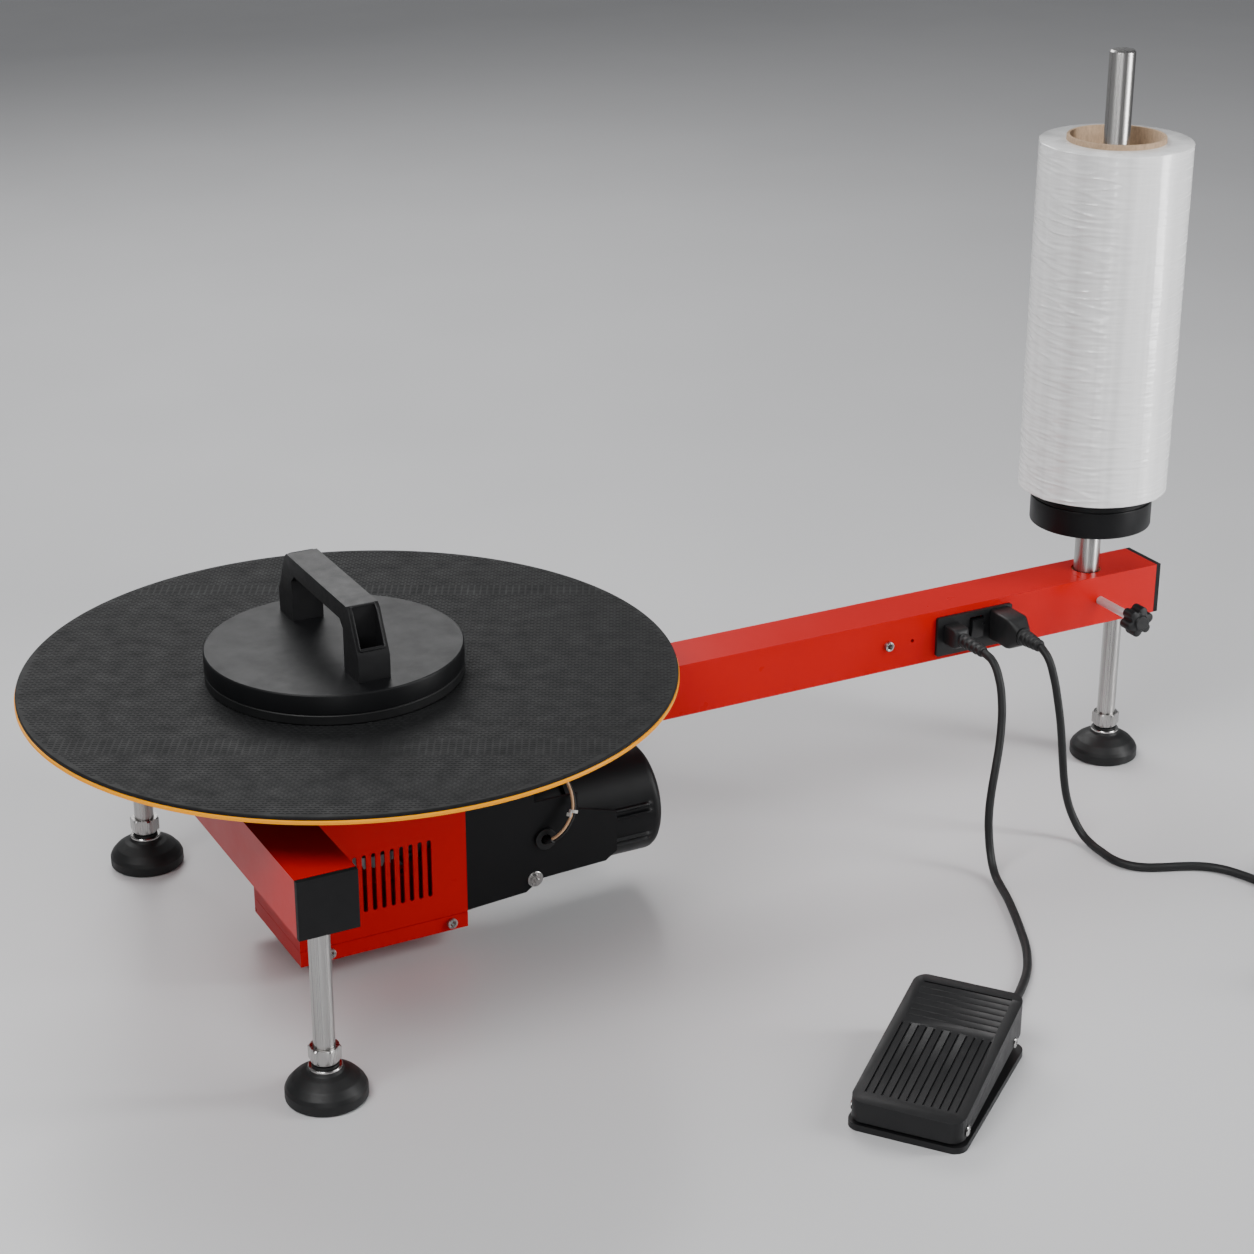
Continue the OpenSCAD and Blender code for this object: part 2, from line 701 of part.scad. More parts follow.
module bracket_bolts() place() color(steel) {
  translate([motor_lug_x, -case_y, motor_lug_z]) rotate([90, 0, 0]) hex_bolt(screw_d, bracket_thick + 6);
  for (i = bracket_bolt_x)
    translate([bracket_x + i, 0, beam_under - bracket_thick]) rotate([180, 0, 0])
      hex_bolt(screw_d, bracket_thick + beam_wall);
}

// Motor: a can with a front shield and a side lug, closed by the end bell
module motor_housing() place() color(black) difference() {
  union() {
    rod_x(can_d, bracket_x, motor_end - bell_length, z = motor_z);
    rod_x(motor_d * 0.4, case_x, bracket_x + e, z = motor_z);
    rod_y(14, -case_y + bracket_thick, -can_d / 2 + 14, motor_lug_x, motor_lug_z);
  }
  rod_x(can_d - 2 * can_wall, bracket_x + 6, motor_end, z = motor_z);
  rod_x(shaft_d + 2 * run_fit, 0, motor_end, z = motor_z);
  rod_y(screw_d, -case_y, -case_y + bracket_thick + 6, motor_lug_x, motor_lug_z);
  motor_bolt_circle() rod_x(screw_d, bracket_x - 1, bracket_x + 5);
}

module motor_end_bell() place() color(black) difference() {
  union() {
    translate([motor_end - bell_length, 0, motor_z]) rotate([0, 90, 0]) rotate_extrude()
      polygon([
        [0, 0], [motor_d / 2, 0], [motor_d / 2, bell_length - 12], [motor_d / 2 - 1.5, bell_length - 6],
        [motor_d / 2 - 5, bell_length - 2], [motor_d / 2 - 10, bell_length], [0, bell_length]]);
    rod_x(16, motor_end - 2, motor_end + 5, z = motor_z);
    for (a = [200, 235, 20, 55])
      translate([0, cos(a) * motor_d / 2, motor_z + sin(a) * motor_d / 2])
        rod_x(6, motor_end - bell_length + 24, motor_end - 14);
  }
  rod_x(can_d - 2 * can_wall, motor_end - bell_length - e, motor_end - 12, z = motor_z);
  rod_x(shaft_d + 2 * run_fit, motor_end - 13, motor_end - 3, z = motor_z);
}

module motor_stator() place() color([0.35, 0.35, 0.36]) difference() {
  rod_x(can_d - 2 * can_wall, bracket_x + 24, motor_end - 40, z = motor_z);
  rod_x(rotor_d + 1.2, bracket_x, motor_end, z = motor_z);
}

module motor_rotor() place() color(steel) {
  rod_x(shaft_d, crown_r - face_width / 2 - 2, motor_end - 4, z = motor_z);
  rod_x(rotor_d, bracket_x + 22, motor_end - 38, z = motor_z);
}

module motor_cable() place() color(black) sweep(motor_route, cable_d / 2, 8);

module grommet() difference() {
  union() {
    cylinder(d = 18, h = 2.5);
    translate([0, 0, -bracket_thick]) cylinder(d = 11, h = bracket_thick + e);
  }
  translate([0, 0, -10]) cylinder(d = cable_d + 2, h = 20);
}

module cable_grommets() place() color(rubber) {
  translate([grommet_x, -case_y, grommet_z]) rotate([90, 0, 0]) grommet();
  translate([arm_grommet_x, arm_grommet_y, beam_under]) difference() {
    union() {
      translate([0, 0, -2]) cylinder(d = cable_d + 8, h = 2);
      cylinder(d = cable_d + 4, h = beam_wall);
    }
    translate([0, 0, -5]) cylinder(d = cable_d + 2, h = 20);
  }
}

// ---- Film post ----

module post_bushes() place() color(brass) translate([film_x, 0, 0])
  for (z = [post_low - 1, beam_top - bush_h - 2])
    translate([0, 0, z]) pipe(bush_d, post_d + 2 * run_fit, bush_h);

module film_post() place() color(steel) translate([film_x, 0, 0]) {
  translate([0, 0, post_low - 1 + gap]) cylinder(d = post_d, h = post_step - post_low + 1 - gap);
  translate([0, 0, post_step - e]) cylinder(d = shank_d, h = post_top - 1.5 - post_step + e);
  translate([0, 0, post_top - 1.5]) cylinder(d1 = shank_d, d2 = shank_d - 2.6, h = 1.5);
}

module spool_flange() place() color(black) translate([film_x, 0, spool_low]) difference() {
  union() {
    cylinder(d = spool_d, h = spool_h - 5);
    cylinder(d = spool_d - 3, h = spool_h - 4);
    translate([0, 0, spool_h - 4.5]) cylinder(d = spool_d, h = 4.5);
    cylinder(d = spigot_d, h = spool_h + spigot_h);
  }
  translate([0, 0, -e]) cylinder(d = post_d, h = spool_h + spigot_h + 1);
}

module film_core() place() color([0.62, 0.47, 0.33]) translate([film_x, 0, core_low])
  pipe(core_d, core_d - 2 * core_wall, core_length);

module film_roll() place() color([0.9, 0.9, 0.92]) translate([film_x, 0, film_low])
  pipe(film_d, core_d, film_width);

module brake_pad() place() color(brass)
  rod_y(pad_d, -pad_face - pad_length, -pad_face, film_x, knob_axis_z);

module brake_knob() place() color(black) {
  rod_y(knob_screw_d, -knob_back - 2, -pad_face - pad_length - gap, film_x, knob_axis_z);
  translate([film_x, -knob_back, knob_axis_z]) rotate([90, 0, 0]) {
    cylinder(d = knob_d * 0.5, h = knob_h);
    translate([0, 0, 3]) linear_extrude(knob_h - 5) {
      circle(d = knob_d * 0.74);
      for (a = [15 : 60 : 315]) rotate(a) translate([knob_d / 2 - lobe_r, 0]) circle(r = lobe_r);
    }
  }
}

// ---- Connection panel ----

module panel_plate() place() color(black) difference() {
  panel_block(panel_x, panel_z, panel_length, panel_height, 2, panel_face, face_y);
  panel_block(jack_x, jack_z, jack_w, jack_h, 1, -beam_side, 0);
  panel_block(switch_x, jack_z, 14, 20, 1, -beam_side, 0);
  panel_block(inlet_x, jack_z, inlet_w, inlet_h, 2, -beam_side, 0);
}

// A socket body in the panel, with a well for its plug
module socket_body(x, w, h, r, depth) difference() {
  panel_block(x, jack_z, w, h, r, panel_face, panel_face + depth);
  panel_block(x, jack_z, w - 4, h - 4, r / 2, panel_face - 1, panel_face + depth - 4);
}

module mains_inlet() place() color(black) {
  socket_body(inlet_x, inlet_w, inlet_h, 2, inlet_depth);
  for (i = [-1, 0, 1])
    translate([inlet_x - 1 + (i == 0 ? 3 : 0), panel_face + 8.5, jack_z + i * 7 - 2])
      cube([2, inlet_depth - 10, 4]);
}

module pedal_socket() place() color(black) socket_body(jack_x, jack_w, jack_h, 1, 14);

// Rocker on a pivot pin in the panel, with its lower end pushed in
module rocker_switch() place() color(black)
  translate([switch_x, panel_face + panel_thick / 2, jack_z]) rotate([rocker_tilt, 0, 0]) {
    rod_x(3, -6.8, 6.8);
    rotate([90, 0, 90]) translate([0, 0, -6]) linear_extrude(12)
      polygon([[-4, 8.6], [3, 7], [4, 0], [3, -7], [-4, -8.6], [-5, 0]]);
  }

// Ribbed strain relief along -Y, from y0 out to y1
module relief(x, d0, d1, y0, y1, ribs) {
  translate([x, y0, jack_z]) rotate([90, 0, 0]) cylinder(d1 = d0, d2 = d1, h = y0 - y1);
  pitch = (y0 - y1 - 3) / ribs;
  for (i = [0 : ribs - 1]) let (d = d0 + (d1 - d0) * i / ribs)
    rod_y(d + 1.4, y0 - 2 - (i + 0.6) * pitch, y0 - 2 - i * pitch, x, jack_z);
}

module mains_connector() place() color(black) {
  panel_block(inlet_x, jack_z, inlet_w - 5, inlet_h - 5, 1, panel_face, panel_face + 8);
  panel_block(inlet_x, jack_z, inlet_w, inlet_h, 2, connector_y, panel_face);
  panel_block(inlet_x, jack_z, inlet_w - 4, inlet_h - 9, 4, connector_y - 8, connector_y);
  relief(inlet_x, 13, cord_d + 1, connector_y - 8, relief_y, 5);
}

module pedal_plug() place() color(black) {
  panel_block(jack_x, jack_z, jack_w - 5, jack_h - 5, 1, panel_face, panel_face + 7);
  panel_block(jack_x, jack_z, jack_w, jack_h, 1.5, panel_face - 17, panel_face);
  relief(jack_x, 10.5, cord_d + 1, panel_face - 17, jack_relief_y, 5);
}

// ---- Cords ----

module mains_cord() place() color(black) {
  sweep(mains_route, cord_r);
  sweep(tail_route, cord_r);
}

module pedal_cord() place() color(black) sweep(pedal_route, cord_r);

module mains_coil() place() color(black) translate([coil_x, coil_y, 0])
  pipe(2 * coil_mean + coil_wide * cord_d, 2 * coil_mean - coil_wide * cord_d, coil_layers * cord_d);

// Two-pin mains plug lying on its flat side
module mains_plug() place() color(black) translate([plug_x, plug_y, plug_z]) rotate(plug_turn) {
  rotate([0, 90, 0]) cylinder(d1 = cord_d + 1, d2 = 13, h = 28);
  for (i = [0 : 3]) rod_x(10 + i * 1.2, 4 + i * 5, 7 + i * 5);
  translate([28, -15, -plug_z]) cube([12, 30, 2 * plug_z]);
  translate([40, -18, -plug_z]) cube([22, 36, 2 * plug_z]);
  for (i = [-1, 1]) rod_x(4.8, 62 - e, 81, i * 9.5);
}

// ---- Press weight ----

module at_weight() translate([weight_x, weight_y, 0]) children();

module weight_pad() place() color(rubber) at_weight() translate([0, 0, weight_low])
  cylinder(r = weight_r, h = pad_thick, $fn = 128);

module weight_plate() place() color(black) at_weight() translate([0, 0, weight_mid]) difference() {
  cylinder(r = weight_r, h = weight_thick, $fn = 128);
  for (i = [-1, 1]) translate([0, i * handle_screw_y, weight_thick - 10]) cylinder(d = screw_d, h = 11);
}

// Bridge handle along Y with an open pocket in each sloped end
module weight_handle() place() color(black) at_weight() translate([0, 0, weight_top]) difference() {
  hl = handle_length / 2;
  rotate([90, 0, 90]) translate([0, 0, -handle_width / 2]) linear_extrude(handle_width) polygon([
    [-hl, 0], [-hl, 18], [-hl + handle_slope, handle_height - 3], [-hl + handle_slope + 4, handle_height],
    [hl - handle_slope - 4, handle_height], [hl - handle_slope, handle_height - 3], [hl, 18], [hl, 0],
    [hl - leg_len, 0], [hl - leg_len, handle_height - bar_thick - 6],
    [hl - leg_len - 6, handle_height - bar_thick], [-hl + leg_len + 6, handle_height - bar_thick],
    [-hl + leg_len, handle_height - bar_thick - 6], [-hl + leg_len, 0]]);
  for (i = [-1, 1]) translate([0, i * handle_screw_y, 0]) {
    translate([-handle_width / 2 + 3.5, -7.5, 4]) cube([handle_width - 7, 15, handle_height]);
    translate([0, 0, -e]) cylinder(d = screw_d, h = 5);
  }
}

module handle_screws() place() color(steel) at_weight()
  for (i = [-1, 1]) translate([0, i * handle_screw_y, weight_top + 4])
    socket_screw(head_h = 4, shank = 13);

// ---- Foot pedal ----

module at_pedal() translate([pedal_x, pedal_y, 0]) rotate(pedal_turn) children();

// Height of the treadle's top and of its skirt's lower edge along the pedal
function treadle_top(u) = pedal_front + (pedal_rear - pedal_front) * (u + pl) / pedal_length;
function skirt_low(u) = skirt_low_front + (skirt_low_rear - skirt_low_front) * (u + pl) / pedal_length;

// A wedge seen from the side, across the pedal's width
module wedge(points, half_width)
  translate([0, half_width, 0]) rotate([90, 0, 0]) linear_extrude(2 * half_width) polygon(points);

module pedal_base() place() color(black) at_pedal() {
  wall_y = pw - skirt_in - skirt_wall - base_gap;
  front = -pl + 8;
  rear = pl - skirt_in - skirt_wall - base_gap;
  linear_extrude(pedal_plate) rounded_rect(pedal_length, pedal_width, pedal_corner);
  difference() {
    wedge([[front, pedal_plate - 1], [rear, pedal_plate - 1], [rear, 29], [front, 15]], wall_y);
    wedge([[front + base_wall, pedal_plate], [rear - base_wall, pedal_plate],
           [rear - base_wall, 40], [front + base_wall, 40]], wall_y - base_wall);
    rotate([90, 0, 0]) translate([0, 0, -pw]) {
      translate([pivot_u, pivot_z, 0]) cylinder(d = pivot_d, h = pedal_width);
      translate([stop_u - 4, 9, 0]) cube([8, 17, pedal_width]);
    }
    rod_x(9, rear - 10, pl, gland_v, gland_z);
  }
  translate([spring_u, 0, 0]) {
    cylinder(d = spring_d + 3, h = spring_seat_z);
    cylinder(d = spring_d - 2 * spring_wire - 1, h = spring_seat_z + 5);
  }
}

module pedal_treadle() place() color(black) at_pedal() difference() {
  out = pl - skirt_in / 2;
  half = pw - skirt_in;
  intersection() {
    wedge([[-out, skirt_low(-out)], [out, skirt_low(out)], [out, treadle_top(out)],
           [-out, treadle_top(-out)]], half);
    linear_extrude(80) rounded_rect(2 * out, 2 * half, pedal_corner);
  }
  wedge([[-out + skirt_wall, 0], [out - skirt_wall, 0], [out - skirt_wall, treadle_top(out) - skirt_wall - 1],
         [-out + skirt_wall, treadle_top(-out) - skirt_wall]], half - skirt_wall);
  translate([0, 0, pivot_z]) rod_y(pivot_d + 2 * run_fit, -pw, pw, pivot_u, 0);
  translate([pl - 8, gland_v - 9, 0]) cube([12, 18, gland_z + 18]);
}

// Pivot pin across the toe end, with a head outside each skirt
module pedal_pivot_pin() place() color(steel) at_pedal() {
  rod_y(pivot_d, -pw + 0.8, pw - 0.8, pivot_u, pivot_z);
  for (i = [-1, 1]) translate([pivot_u, i * (pw - skirt_in + gap), pivot_z])
    rotate([-i * 90, 0, 0]) cylinder(d = 8, h = 1.4);
}

module pedal_switch() place() color([0.2, 0.2, 0.25]) at_pedal() {
  translate([-12, -20, pedal_plate]) cube([28, 10, 16]);
  translate([-2, -17, pedal_plate + 16 - e]) cube([8, 4, 3]);
}

module pedal_gland() place() color(rubber) at_pedal() {
  rear = pl - skirt_in - skirt_wall - base_gap;
  rod_x(9, rear - base_wall, rear, gland_v, gland_z);
  translate([rear, gland_v, gland_z]) rotate([0, 90, 0])
    cylinder(d1 = 12.5, d2 = cord_d + 1.5, h = gland_out - rear);
}

// Return spring between its seat and the treadle, six turns
module pedal_spring() place() color(steel) at_pedal() translate([spring_u, 0, 0]) {
  low = spring_seat_z + spring_wire / 2;
  high = treadle_top(spring_u) - skirt_wall - 2.2;
  turns = 6;
  sweep([for (i = [0 : 12 * turns])
    [(spring_d - spring_wire) / 2 * cos(i * 30), (spring_d - spring_wire) / 2 * sin(i * 30),
     low + (high - low) * i / (12 * turns)]], spring_wire / 2, 6, [1, 0, 0]);
}

long_arm();
cross_beam();
tube_caps();
frame_screws();
bearing_housing();
spindle_bearings();
drive_casing();
casing_tray();
motor_bracket();
bracket_bolts();
motor_housing();
motor_end_bell();
motor_stator();
motor_cable();
cable_grommets();
post_bushes();
panel_plate();
mains_inlet();
pedal_socket();
leg_collars();
pedal_base();
pedal_gland();
pedal_switch();
pedal_pivot_pin();
mains_connector();
mains_cord();
mains_coil();
mains_plug();
pedal_plug();
pedal_cord();
spindle();
bearing_inner_rings();
crown_gear();
hub_flange();
hub_screws();
turntable_plate();
edge_trim();
turntable_mat();
motor_rotor();
drive_pinion();
film_post();
spool_flange();
film_core();
film_roll();
weight_pad();
weight_plate();
weight_handle();
handle_screws();
brake_pad();
brake_knob();
leg_front();
leg_rear();
leg_right();
foot_front();
foot_rear();
foot_right();
rocker_switch();
pedal_treadle();
pedal_spring();
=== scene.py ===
"""The looks of a turntable pallet wrapper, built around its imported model.

Places are given in millimetres from the point on the floor under the turntable's axis,
with +X along the arm, and at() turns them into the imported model's own frame.
"""

import json
import math

import bmesh
import bpy
from mathutils import Euler, Matrix, Vector, noise
from mathutils.geometry import interpolate_bezier

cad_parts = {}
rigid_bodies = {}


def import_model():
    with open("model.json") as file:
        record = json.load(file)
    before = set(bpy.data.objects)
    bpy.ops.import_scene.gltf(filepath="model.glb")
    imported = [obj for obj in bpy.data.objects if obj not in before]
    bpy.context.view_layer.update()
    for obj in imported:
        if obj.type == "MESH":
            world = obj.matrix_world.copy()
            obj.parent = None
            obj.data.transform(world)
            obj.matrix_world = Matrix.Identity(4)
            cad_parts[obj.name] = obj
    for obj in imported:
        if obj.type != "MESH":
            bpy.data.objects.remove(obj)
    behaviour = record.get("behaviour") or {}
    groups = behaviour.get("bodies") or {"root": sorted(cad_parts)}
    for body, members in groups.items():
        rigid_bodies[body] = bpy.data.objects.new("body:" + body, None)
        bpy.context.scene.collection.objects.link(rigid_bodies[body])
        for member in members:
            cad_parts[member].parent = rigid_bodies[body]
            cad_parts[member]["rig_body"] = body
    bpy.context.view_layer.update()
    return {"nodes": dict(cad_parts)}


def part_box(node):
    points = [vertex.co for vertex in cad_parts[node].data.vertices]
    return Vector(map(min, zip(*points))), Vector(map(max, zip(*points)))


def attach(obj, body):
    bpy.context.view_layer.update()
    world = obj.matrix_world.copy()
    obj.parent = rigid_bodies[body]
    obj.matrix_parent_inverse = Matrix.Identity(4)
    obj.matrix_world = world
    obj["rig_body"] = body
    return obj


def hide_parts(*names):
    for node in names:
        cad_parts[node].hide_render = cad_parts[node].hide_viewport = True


bl_info = {
    "name": "Turntable pallet wrapper",
    "version": (1, 0, 0),
    "blender": (4, 5, 0),
    "location": "View3D > Sidebar > Wrapper",
    "description": "Builds the looks of a turntable pallet wrapper around its packed model",
    "category": "Object",
}

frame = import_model()
MM = 0.001
X, Y, Z = Vector((1, 0, 0)), Vector((0, 1, 0)), Vector((0, 0, 1))


def middle(node):
    """The centre of a node's box"""
    low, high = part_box(node)
    return (low + high) / 2


AXIS = Vector((middle("turntable_plate").x, middle("turntable_plate").y, 0))


def at(x, y, z):
    """A point given in millimetres from the foot of the turntable's axis"""
    return AXIS + Vector((x, y, z)) * MM


# ---- Settings ----


def length(name, description, default):
    return bpy.props.FloatProperty(
        name=name, description=description, default=default, unit="LENGTH", precision=5
    )


def colour(name, description, default):
    return bpy.props.FloatVectorProperty(
        name=name, description=description, default=default, subtype="COLOR", size=3, min=0, max=1
    )


class WrapperColours(bpy.types.PropertyGroup):
    """Colours of the painted, moulded and printed finishes"""

    red: colour("Frame red", "Gloss powder coat of the frame and the casing", (0.50, 0.0006, 0.0009))
    black: colour("Machine black", "Satin paint of the motor, bracket and weight", (0.0048, 0.0050, 0.0056))
    plastic: colour("Moulded black", "Handle, knob, plugs and pedal", (0.0075, 0.0075, 0.0082))
    rubber: colour("Rubber black", "Mat, feet, pad and cords", (0.0075, 0.0078, 0.0082))
    edge: colour("Edge yellow", "Edging around the turntable", (0.95, 0.37, 0.003))
    film: colour("Film white", "Roll of stretch film", (0.90, 0.90, 0.90))
    card: colour("Cardboard", "Core of the film roll", (0.42, 0.29, 0.185))
    floor: colour("Floor", "Plain studio floor", (0.62, 0.62, 0.63))


class WrapperSizes(bpy.types.PropertyGroup):
    """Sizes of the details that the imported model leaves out"""

    tube_edge: length("Tube edge", "Corner radius of the square tubes", 1.5 * MM)
    sheet_edge: length("Sheet edge", "Corner radius of the folded sheet", 0.7 * MM)
    mould_edge: length("Moulded edge", "Corner radius of the moulded parts", 0.9 * MM)
    rib_pitch: length("Mat rib pitch", "Spacing of the mat's ribs along their length", 5.2 * MM)
    rib_row: length("Mat row pitch", "Spacing of the mat's rows of ribs", 3.1 * MM)
    rib_height: length("Mat rib height", "Height of a rib on the mat", 0.32 * MM)
    groove_width: length("Pedal groove width", "Width of a groove in the pedal", 1.7 * MM)
    groove_depth: length("Pedal groove depth", "Depth of a groove in the pedal", 1.3 * MM)
    wrinkle: length("Film wrinkle", "Height of the largest wrinkle in the film", 1.2 * MM)
    wire: length("Motor wire", "Diameter of a wire to the motor", 2.4 * MM)


# ---- Materials ----


class Finish:
    """A procedural material under construction"""

    def __init__(self, name, base, roughness, metallic=0.0):
        self.mat = bpy.data.materials.new(name)
        self.mat.use_nodes = True
        self.tree = self.mat.node_tree
        self.shader = self.tree.nodes["Principled BSDF"]
        self.base = (*base, 1.0)
        self.mat.diffuse_color = self.base
        self.set("Base Color", self.base)
        self.set("Roughness", roughness)
        self.set("Metallic", metallic)

    def set(self, socket, value):
        self.shader.inputs[socket].default_value = value
        return self

    def node(self, kind, **inputs):
        made = self.tree.nodes.new(kind)
        for key, value in inputs.items():
            made.inputs[key.replace("_", " ")].default_value = value
        return made

    def link(self, source, target):
        self.tree.links.new(source, target)

    def coords(self, scale=(1, 1, 1), turn=(0, 0, 0), centre=(0, 0, 0)):
        """Object coordinates about a centre, turned and then scaled"""
        source = self.node("ShaderNodeTexCoord")
        shift = self.node("ShaderNodeVectorMath")
        shift.operation = "SUBTRACT"
        shift.inputs[1].default_value = centre
        self.link(source.outputs["Object"], shift.inputs[0])
        mapping = self.node("ShaderNodeMapping", Rotation=turn)
        mapping.vector_type = "TEXTURE"
        self.link(shift.outputs[0], mapping.inputs["Vector"])
        stretch = self.node("ShaderNodeVectorMath")
        stretch.operation = "MULTIPLY"
        stretch.inputs[1].default_value = scale
        self.link(mapping.outputs[0], stretch.inputs[0])
        return stretch.outputs[0]

    def noise(self, coords, scale, detail=3.0, rough=0.55):
        made = self.node("ShaderNodeTexNoise", Scale=scale, Detail=detail, Roughness=rough)
        self.link(coords, made.inputs["Vector"])
        return made.outputs[0]

    def spread(self, value, low, high, from_low=0.25, from_high=0.75):
        """A value mapped from one range to another"""
        made = self.node("ShaderNodeMapRange")
        for slot, number in zip((1, 2, 3, 4), (from_low, from_high, low, high)):
            made.inputs[slot].default_value = number
        self.link(value, made.inputs[0])
        return made.outputs[0]

    def tint(self, value, amount, darker=1.0):
        """Lightens and darkens the base colour by a value from 0 to 1"""
        ramp = self.node("ShaderNodeValToRGB")
        low = [c * (1 - amount * darker) for c in self.base[:3]]
        high = [min(1, c * (1 + amount)) for c in self.base[:3]]
        ramp.color_ramp.elements[0].position = 0.25
        ramp.color_ramp.elements[1].position = 0.75
        ramp.color_ramp.elements[0].color = (*low, 1)
        ramp.color_ramp.elements[1].color = (*high, 1)
        self.link(value, ramp.inputs[0])
        self.link(ramp.outputs[0], self.shader.inputs["Base Color"])
        return self

    def rough(self, value, low, high):
        self.link(self.spread(value, low, high), self.shader.inputs["Roughness"])
        return self

    def bump(self, value, height, strength=1.0):
        """Bump of a height in metres, on top of any bump that is there"""
        made = self.node("ShaderNodeBump", Strength=strength, Distance=height)
        self.link(value, made.inputs["Height"])
        earlier = self.shader.inputs["Normal"].links
        if earlier:
            self.link(earlier[0].from_socket, made.inputs["Normal"])
        self.link(made.outputs[0], self.shader.inputs["Normal"])
        return self


def gloss_paint(name, base):
    """Gloss powder coat: soft orange peel, a clear surface and a few dull patches"""
    made = Finish(name, base, 0.3).set("Specular IOR Level", 0.16)
    here = made.coords()
    made.tint(made.noise(here, 5, 2), 0.04)
    made.rough(made.noise(here, 40, 3), 0.27, 0.34)
    return made.bump(made.noise(here, 420, 1), 0.000012)


def satin_paint(name, base, roughness=0.42):
    """Satin black paint with a fine grain"""
    made = Finish(name, base, roughness).set("Specular IOR Level", 0.2)
    here = made.coords()
    made.tint(made.noise(here, 14, 3), 0.14)
    made.rough(made.noise(here, 60, 4), roughness - 0.05, roughness + 0.07)
    return made.bump(made.noise(here, 1500, 3), 0.00004)


def moulded(name, base, roughness=0.45, grain=1900, depth=0.00005):
    """Moulded plastic with spark-eroded grain"""
    made = Finish(name, base, roughness).set("Specular IOR Level", 0.34)
    here = made.coords()
    made.tint(made.noise(here, 22, 3), 0.12)
    made.rough(made.noise(here, 90, 4), roughness - 0.06, roughness + 0.08)
    return made.bump(made.noise(here, grain, 2, 0.6), depth)


def soft_rubber(name, base, roughness=0.6, depth=0.00006):
    """Rubber: matt, slightly dusty, with a soft sheen"""
    made = Finish(name, base, roughness).set("Specular IOR Level", 0.34)
    here = made.coords()
    made.tint(made.noise(here, 17, 4), 0.22)
    made.rough(made.noise(here, 120, 4), roughness - 0.08, roughness + 0.08)
    return made.bump(made.noise(here, 1400, 3, 0.65), depth)


def mat_rubber(name, base):
    """The mat: fine slanting threads between its ribs"""
    made = Finish(name, base, 0.62).set("Specular IOR Level", 0.2)
    slant = made.coords(scale=(1, 0.12, 1), turn=(0, 0, math.radians(-27)), centre=AXIS)
    plain = made.coords()
    made.tint(made.noise(plain, 210, 5, 0.7), 0.42)
    made.rough(made.noise(plain, 60, 4), 0.53, 0.7)
    made.bump(made.noise(slant, 1300, 3, 0.6), 0.00012)
    return made.bump(made.noise(plain, 900, 3), 0.00008)


def steel(name, base, roughness, scale, centre, depth=0.00001):
    """Drawn or turned steel: fine lines along the stretched axis of scale"""
    made = Finish(name, base, roughness, 1.0)
    lines = made.noise(made.coords(scale=scale, centre=centre), 1.0, 4, 0.65)
    made.tint(lines, 0.10)
    made.rough(lines, roughness * 0.75, roughness * 1.35)
    return made.bump(lines, depth)


def cast_bronze(name, base):
    made = Finish(name, base, 0.34, 1.0)
    here = made.coords()
    made.tint(made.noise(here, 160, 4), 0.16)
    made.rough(made.noise(here, 300, 4), 0.27, 0.42)
    return made.bump(made.noise(here, 1100, 3), 0.00003)


def stretch_film(name, base, centre):
    """Wound film: milky, glossy, with fine lines round the roll and long soft bands, bumped and also
    painted into the colour as lighter and darker streaks of painted sheen and painted shade
    """
    made = Finish(name, base, 0.2).set("Coat Weight", 0.7).set("Coat Roughness", 0.06)
    made.set("Subsurface Weight", 0.12).set("Subsurface Scale", 0.008)
    made.set("Subsurface Radius", (1.0, 1.0, 1.0)).set("IOR", 1.5)
    bands = made.noise(made.coords(scale=(60, 60, 0.8), centre=centre), 1.0, 3, 0.5)
    lines = made.noise(made.coords(scale=(14, 14, 480), centre=centre), 1.0, 3, 0.6)
    # Painted sheen and painted shade: the long bands lighten and darken the colour where reflected lights
    # and their gaps would fall
    made.tint(bands, 0.16, 1.1)
    made.rough(lines, 0.12, 0.34)
    made.bump(lines, 0.0003)
    return made.bump(bands, 0.0012, 0.9)


def cardboard(name, base):
    """Spiral-wound cardboard with fibres"""
    made = Finish(name, base, 0.82)
    here = made.coords(scale=(1, 1, 0.35))
    made.tint(made.noise(here, 420, 5, 0.7), 0.28)
    made.rough(made.noise(here, 300, 3), 0.75, 0.9)
    return made.bump(made.noise(here, 900, 4), 0.0001)


